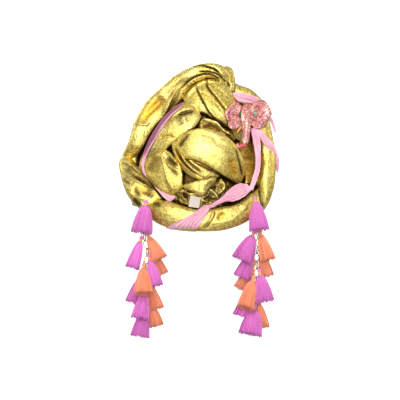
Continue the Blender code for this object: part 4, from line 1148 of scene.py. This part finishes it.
def label_piece(material):
    """A bare woven label, a little curved."""
    columns, levels = 24, 32
    across, tall = LABEL_SIZE
    u, v = np.meshgrid(np.linspace(-0.5, 0.5, columns), np.linspace(-0.5, 0.5, levels), indexing="ij")
    bow = 0.0012 * (1 - (2 * v) ** 2) * 0.5 + 0.0006 * np.sin(3 * u + 1) * (0.5 - v)
    layers = []
    for y in (-bow, LABEL_THICKNESS - bow):
        z = v * tall
        lean_y = y * math.cos(LABEL_LEAN) - z * math.sin(LABEL_LEAN)
        lean_z = y * math.sin(LABEL_LEAN) + z * math.cos(LABEL_LEAN)
        tilt_x = u * across * math.cos(LABEL_TILT) - lean_z * math.sin(LABEL_TILT)
        tilt_z = u * across * math.sin(LABEL_TILT) + lean_z * math.cos(LABEL_TILT)
        layers.append((np.stack([tilt_x, lean_y, tilt_z], axis=-1) + np.array(LABEL_MIDDLE)).reshape(-1, 3))
    count = u.size
    faces = []
    for i in range(columns - 1):
        for j in range(levels - 1):
            a = i * levels + j
            quad = (a, a + levels, a + levels + 1, a + 1)
            faces += [quad, tuple(count + index for index in quad[::-1])]
    rim = [i * levels for i in range(columns)] + [(columns - 1) * levels + j for j in range(1, levels)]
    rim += [i * levels + levels - 1 for i in range(columns - 2, -1, -1)] + list(range(levels - 2, 0, -1))
    for a, b in zip(rim, rim[1:] + rim[:1]):
        faces.append((b, a, count + a, count + b))
    points = np.concatenate(layers)
    piece = new_object("label_tape", points, outward(points, faces), material)
    piece.data.set_sharp_from_angle(angle=math.radians(50))
    claim(piece, "label")


def crown_piece(material):
    """The hollow crown with its pleats, as a thin wall that is closed at the top and open below, with
    painted shade on its hidden front, its back pleats' creases and its inner wall.
    """
    around, levels = 360, 112
    turn = circle(around)
    top = CROWN_MIDDLE + CROWN_HALF_HEIGHT
    rings = []
    for height in top * np.sin(np.linspace(0, 1, levels) * np.pi / 2) * CROWN_SHORT:
        level = math.sqrt(max(1 - ((height - CROWN_MIDDLE) / CROWN_HALF_HEIGHT) ** 2, 1e-5))
        x = CROWN_HALF_WIDTH * level * np.cos(turn)
        y = CROWN_HALF_DEPTH * level * np.sin(turn)
        rings.append(np.stack([x, y, height + 0 * turn], axis=1))
    outer = np.array(rings)
    behind = smooth(-0.055, -0.030, outer[..., 1])
    push, crease, _, _ = fold_push(outer, CROWN_FOLDS)
    beside = smooth(0.066, 0.090, np.abs(outer[..., 0]))
    push = push * (1 - beside) + fold_push(outer[..., [1, 1, 2]], CROWN_SIDE_FOLDS)[0] * beside
    push += 0.0012 * ripple(outer, 0.045, 71) + 0.0004 * ripple(outer, 0.014, 72) - CROWN_DRAWN_IN
    # Painted shade over the front of the crown, which lies behind the drapes
    hidden_shade = 0.9 * (1 - smooth(-0.06, -0.02, outer[..., 1]))
    # Painted shade in the back pleats' creases, and a lighter painted shade over the whole inner wall
    shading = np.concatenate([np.maximum(crease * (1 - beside) * behind, hidden_shade), 0.5 + 0 * crease])
    outer = outer + normals_of(outer) * (push * behind)[..., None]
    outer[..., 2] = np.maximum(outer[..., 2], 0)
    inner = outer[::-1] * np.array([1 - CROWN_WALL / CROWN_HALF_WIDTH, 1 - CROWN_WALL / CROWN_HALF_DEPTH, 1])
    inner[..., 2] = np.maximum(inner[..., 2] - CROWN_WALL * smooth(0, 1, inner[..., 2] / top), 0)
    points = np.concatenate([outer, inner]).reshape(-1, 3)
    quads = ring_faces(2 * levels, around, closed=True)
    pole = (levels - 1) * around
    faces = quads[:pole] + quads[pole + around:]
    faces.append(tuple(range(pole, pole + around)))
    faces.append(tuple(range(pole + around, pole + 2 * around))[::-1])
    piece = new_object("crown_cloth", points, outward(points, faces), material)
    paint(piece, crease=shading)
    claim(piece, "crown_shell")


def nape_piece(material):
    """The roll round the nape, with folds along it."""
    along, around = 340, 70
    angles = np.linspace(-NAPE_REACH, NAPE_REACH, along)
    turn = circle(around)
    level = math.sqrt(1 - ((NAPE_HEIGHT + NAPE_HALF_HEIGHT - CROWN_MIDDLE) / CROWN_HALF_HEIGHT) ** 2)
    way = np.stack([np.sin(angles), np.cos(angles), 0 * angles], axis=1)
    radius = np.array([CROWN_HALF_WIDTH * level + NAPE_SEAT, CROWN_HALF_DEPTH * level + NAPE_SEAT, 0])
    middle = way * radius + np.array([0, 0, NAPE_HEIGHT])
    taper = 0.55 + 0.45 * np.sqrt(np.cos(angles / NAPE_REACH * np.pi / 2).clip(0))
    up = np.array([0, 0, 1.0]) * (NAPE_HALF_HEIGHT * taper)[:, None]
    rings = middle[:, None] + wheel(turn, up, way * NAPE_HALF_DEPTH)
    push = lengthwise_push(turn, np.linspace(0, 1, along), NAPE_FOLDS)
    push += 0.0006 * ripple(rings, 0.02, 61)
    piece = tube_object("band_back_cloth", rings + normals_of(rings) * push[..., None], material)
    claim(piece, "band_back")


def place_in_scene(name, data, place, turned=(0, 0, 0)):
    thing = bpy.data.objects.new(name, data)
    bpy.context.scene.collection.objects.link(thing)
    thing.location = place
    thing.rotation_euler = turned
    return thing


def make_camera():
    data = bpy.data.cameras.new("camera")
    data.lens = LENS
    data.sensor_width = SENSOR
    data.clip_end = 50
    place = (VIEW_CENTRE[0], VIEW_PLANE - VIEW_WIDTH * LENS / SENSOR, VIEW_CENTRE[1])
    bpy.context.scene.camera = place_in_scene("camera", data, place, (math.radians(90), 0, 0))


def make_light(name, place, target_height, size, power):
    data = bpy.data.lights.new(name, "AREA")
    data.shape = "RECTANGLE"
    data.size, data.size_y = size
    data.energy = power
    x, y, z = place[0], place[1], place[2] - target_height
    place_in_scene(name, data, place, (math.atan2(math.hypot(x, y), z), 0, math.atan2(x, -y)))


def make_stage():
    """A pale sweep: floor, curve and wall in one sheet, seen from every side."""
    turn = circle(96)
    profile = [(0.0, 0.0), (2.0, 0.0), (5.0, 0.0)]
    profile += [(5.0 + 1.5 * math.sin(a), 1.5 - 1.5 * math.cos(a)) for a in np.linspace(0.1, np.pi / 2, 14)]
    profile += [(6.5, 6.0)]
    around = np.stack([np.cos(turn), np.sin(turn), 0 * turn], axis=1)
    points = np.concatenate([around * radius + [0, 0, FLOOR + height] for radius, height in profile])
    faces = ring_faces(len(profile), len(turn))
    floor = new_object("floor", points, faces, stage_material("floor"))
    floor.visible_glossy = False
    floor.visible_diffuse = False


def make_world():
    world = bpy.data.worlds.new("studio")
    world.use_nodes = True
    background = world.node_tree.nodes["Background"]
    background.inputs["Color"].default_value = (1.0, 1.0, 1.0, 1.0)
    background.inputs["Strength"].default_value = WORLD_STRENGTH
    bpy.context.scene.world = world
    bpy.context.scene.view_settings.view_transform = "Standard"
    bpy.context.scene.view_settings.gamma = VIEW_GAMMA


def main():
    gold = lame_material("gold_lame", *GOLD_COLOURS)
    pink = jersey_material("pink_jersey", *PINK_COLOURS)
    threads = {name: thread_material(name + "_thread", *colours) for name, colours in THREAD_COLOURS.items()}
    chain_gold = metal_material("chain_gold", (0.62, 0.38, 0.15), 0.42)
    brooch_gold = metal_material("brooch_gold", (0.72, 0.38, 0.24), 0.38)

    crown_piece(gold)
    nape_piece(gold)
    for number, name in enumerate(SWATHES):
        cloth_piece(name, gold, 100 + 2 * number)
    for number, name in enumerate(RIBBONS):
        ribbon_piece(name, pink, 200 + number)
    for side, first_seed, rows in (("left", 301, TASSELS_LEFT), ("right", 351, TASSELS_RIGHT)):
        for number, row in enumerate(rows):
            materials = (threads[row[0]], threads["binding"], chain_gold)
            tassel_piece(f"tassel_{side}_{number + 1:02d}", row, materials, first_seed + number)
    coral = gem_material("coral_enamel", (0.85, 0.16, 0.16))
    brooch_piece((brooch_gold, pave_material("pave_stones"), coral))
    eye_piece("brooch_eye_left", (gem_material("teal_gem", (0.01, 0.20, 0.18)), brooch_gold))
    eye_piece("brooch_eye_right", (gem_material("mist_gem", (0.42, 0.55, 0.50)), brooch_gold))
    label_piece(woven_material("label_tape", (0.66, 0.60, 0.54)))
    for name in ("chain_left", "chain_right", "brooch_pin", "brooch_tusk"):
        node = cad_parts[name]
        node.data.materials.clear()
        node.data.materials.append(chain_gold)

    make_stage()
    make_world()
    make_camera()
    for name, *facts in LIGHTS:
        make_light(name, *facts)


main()
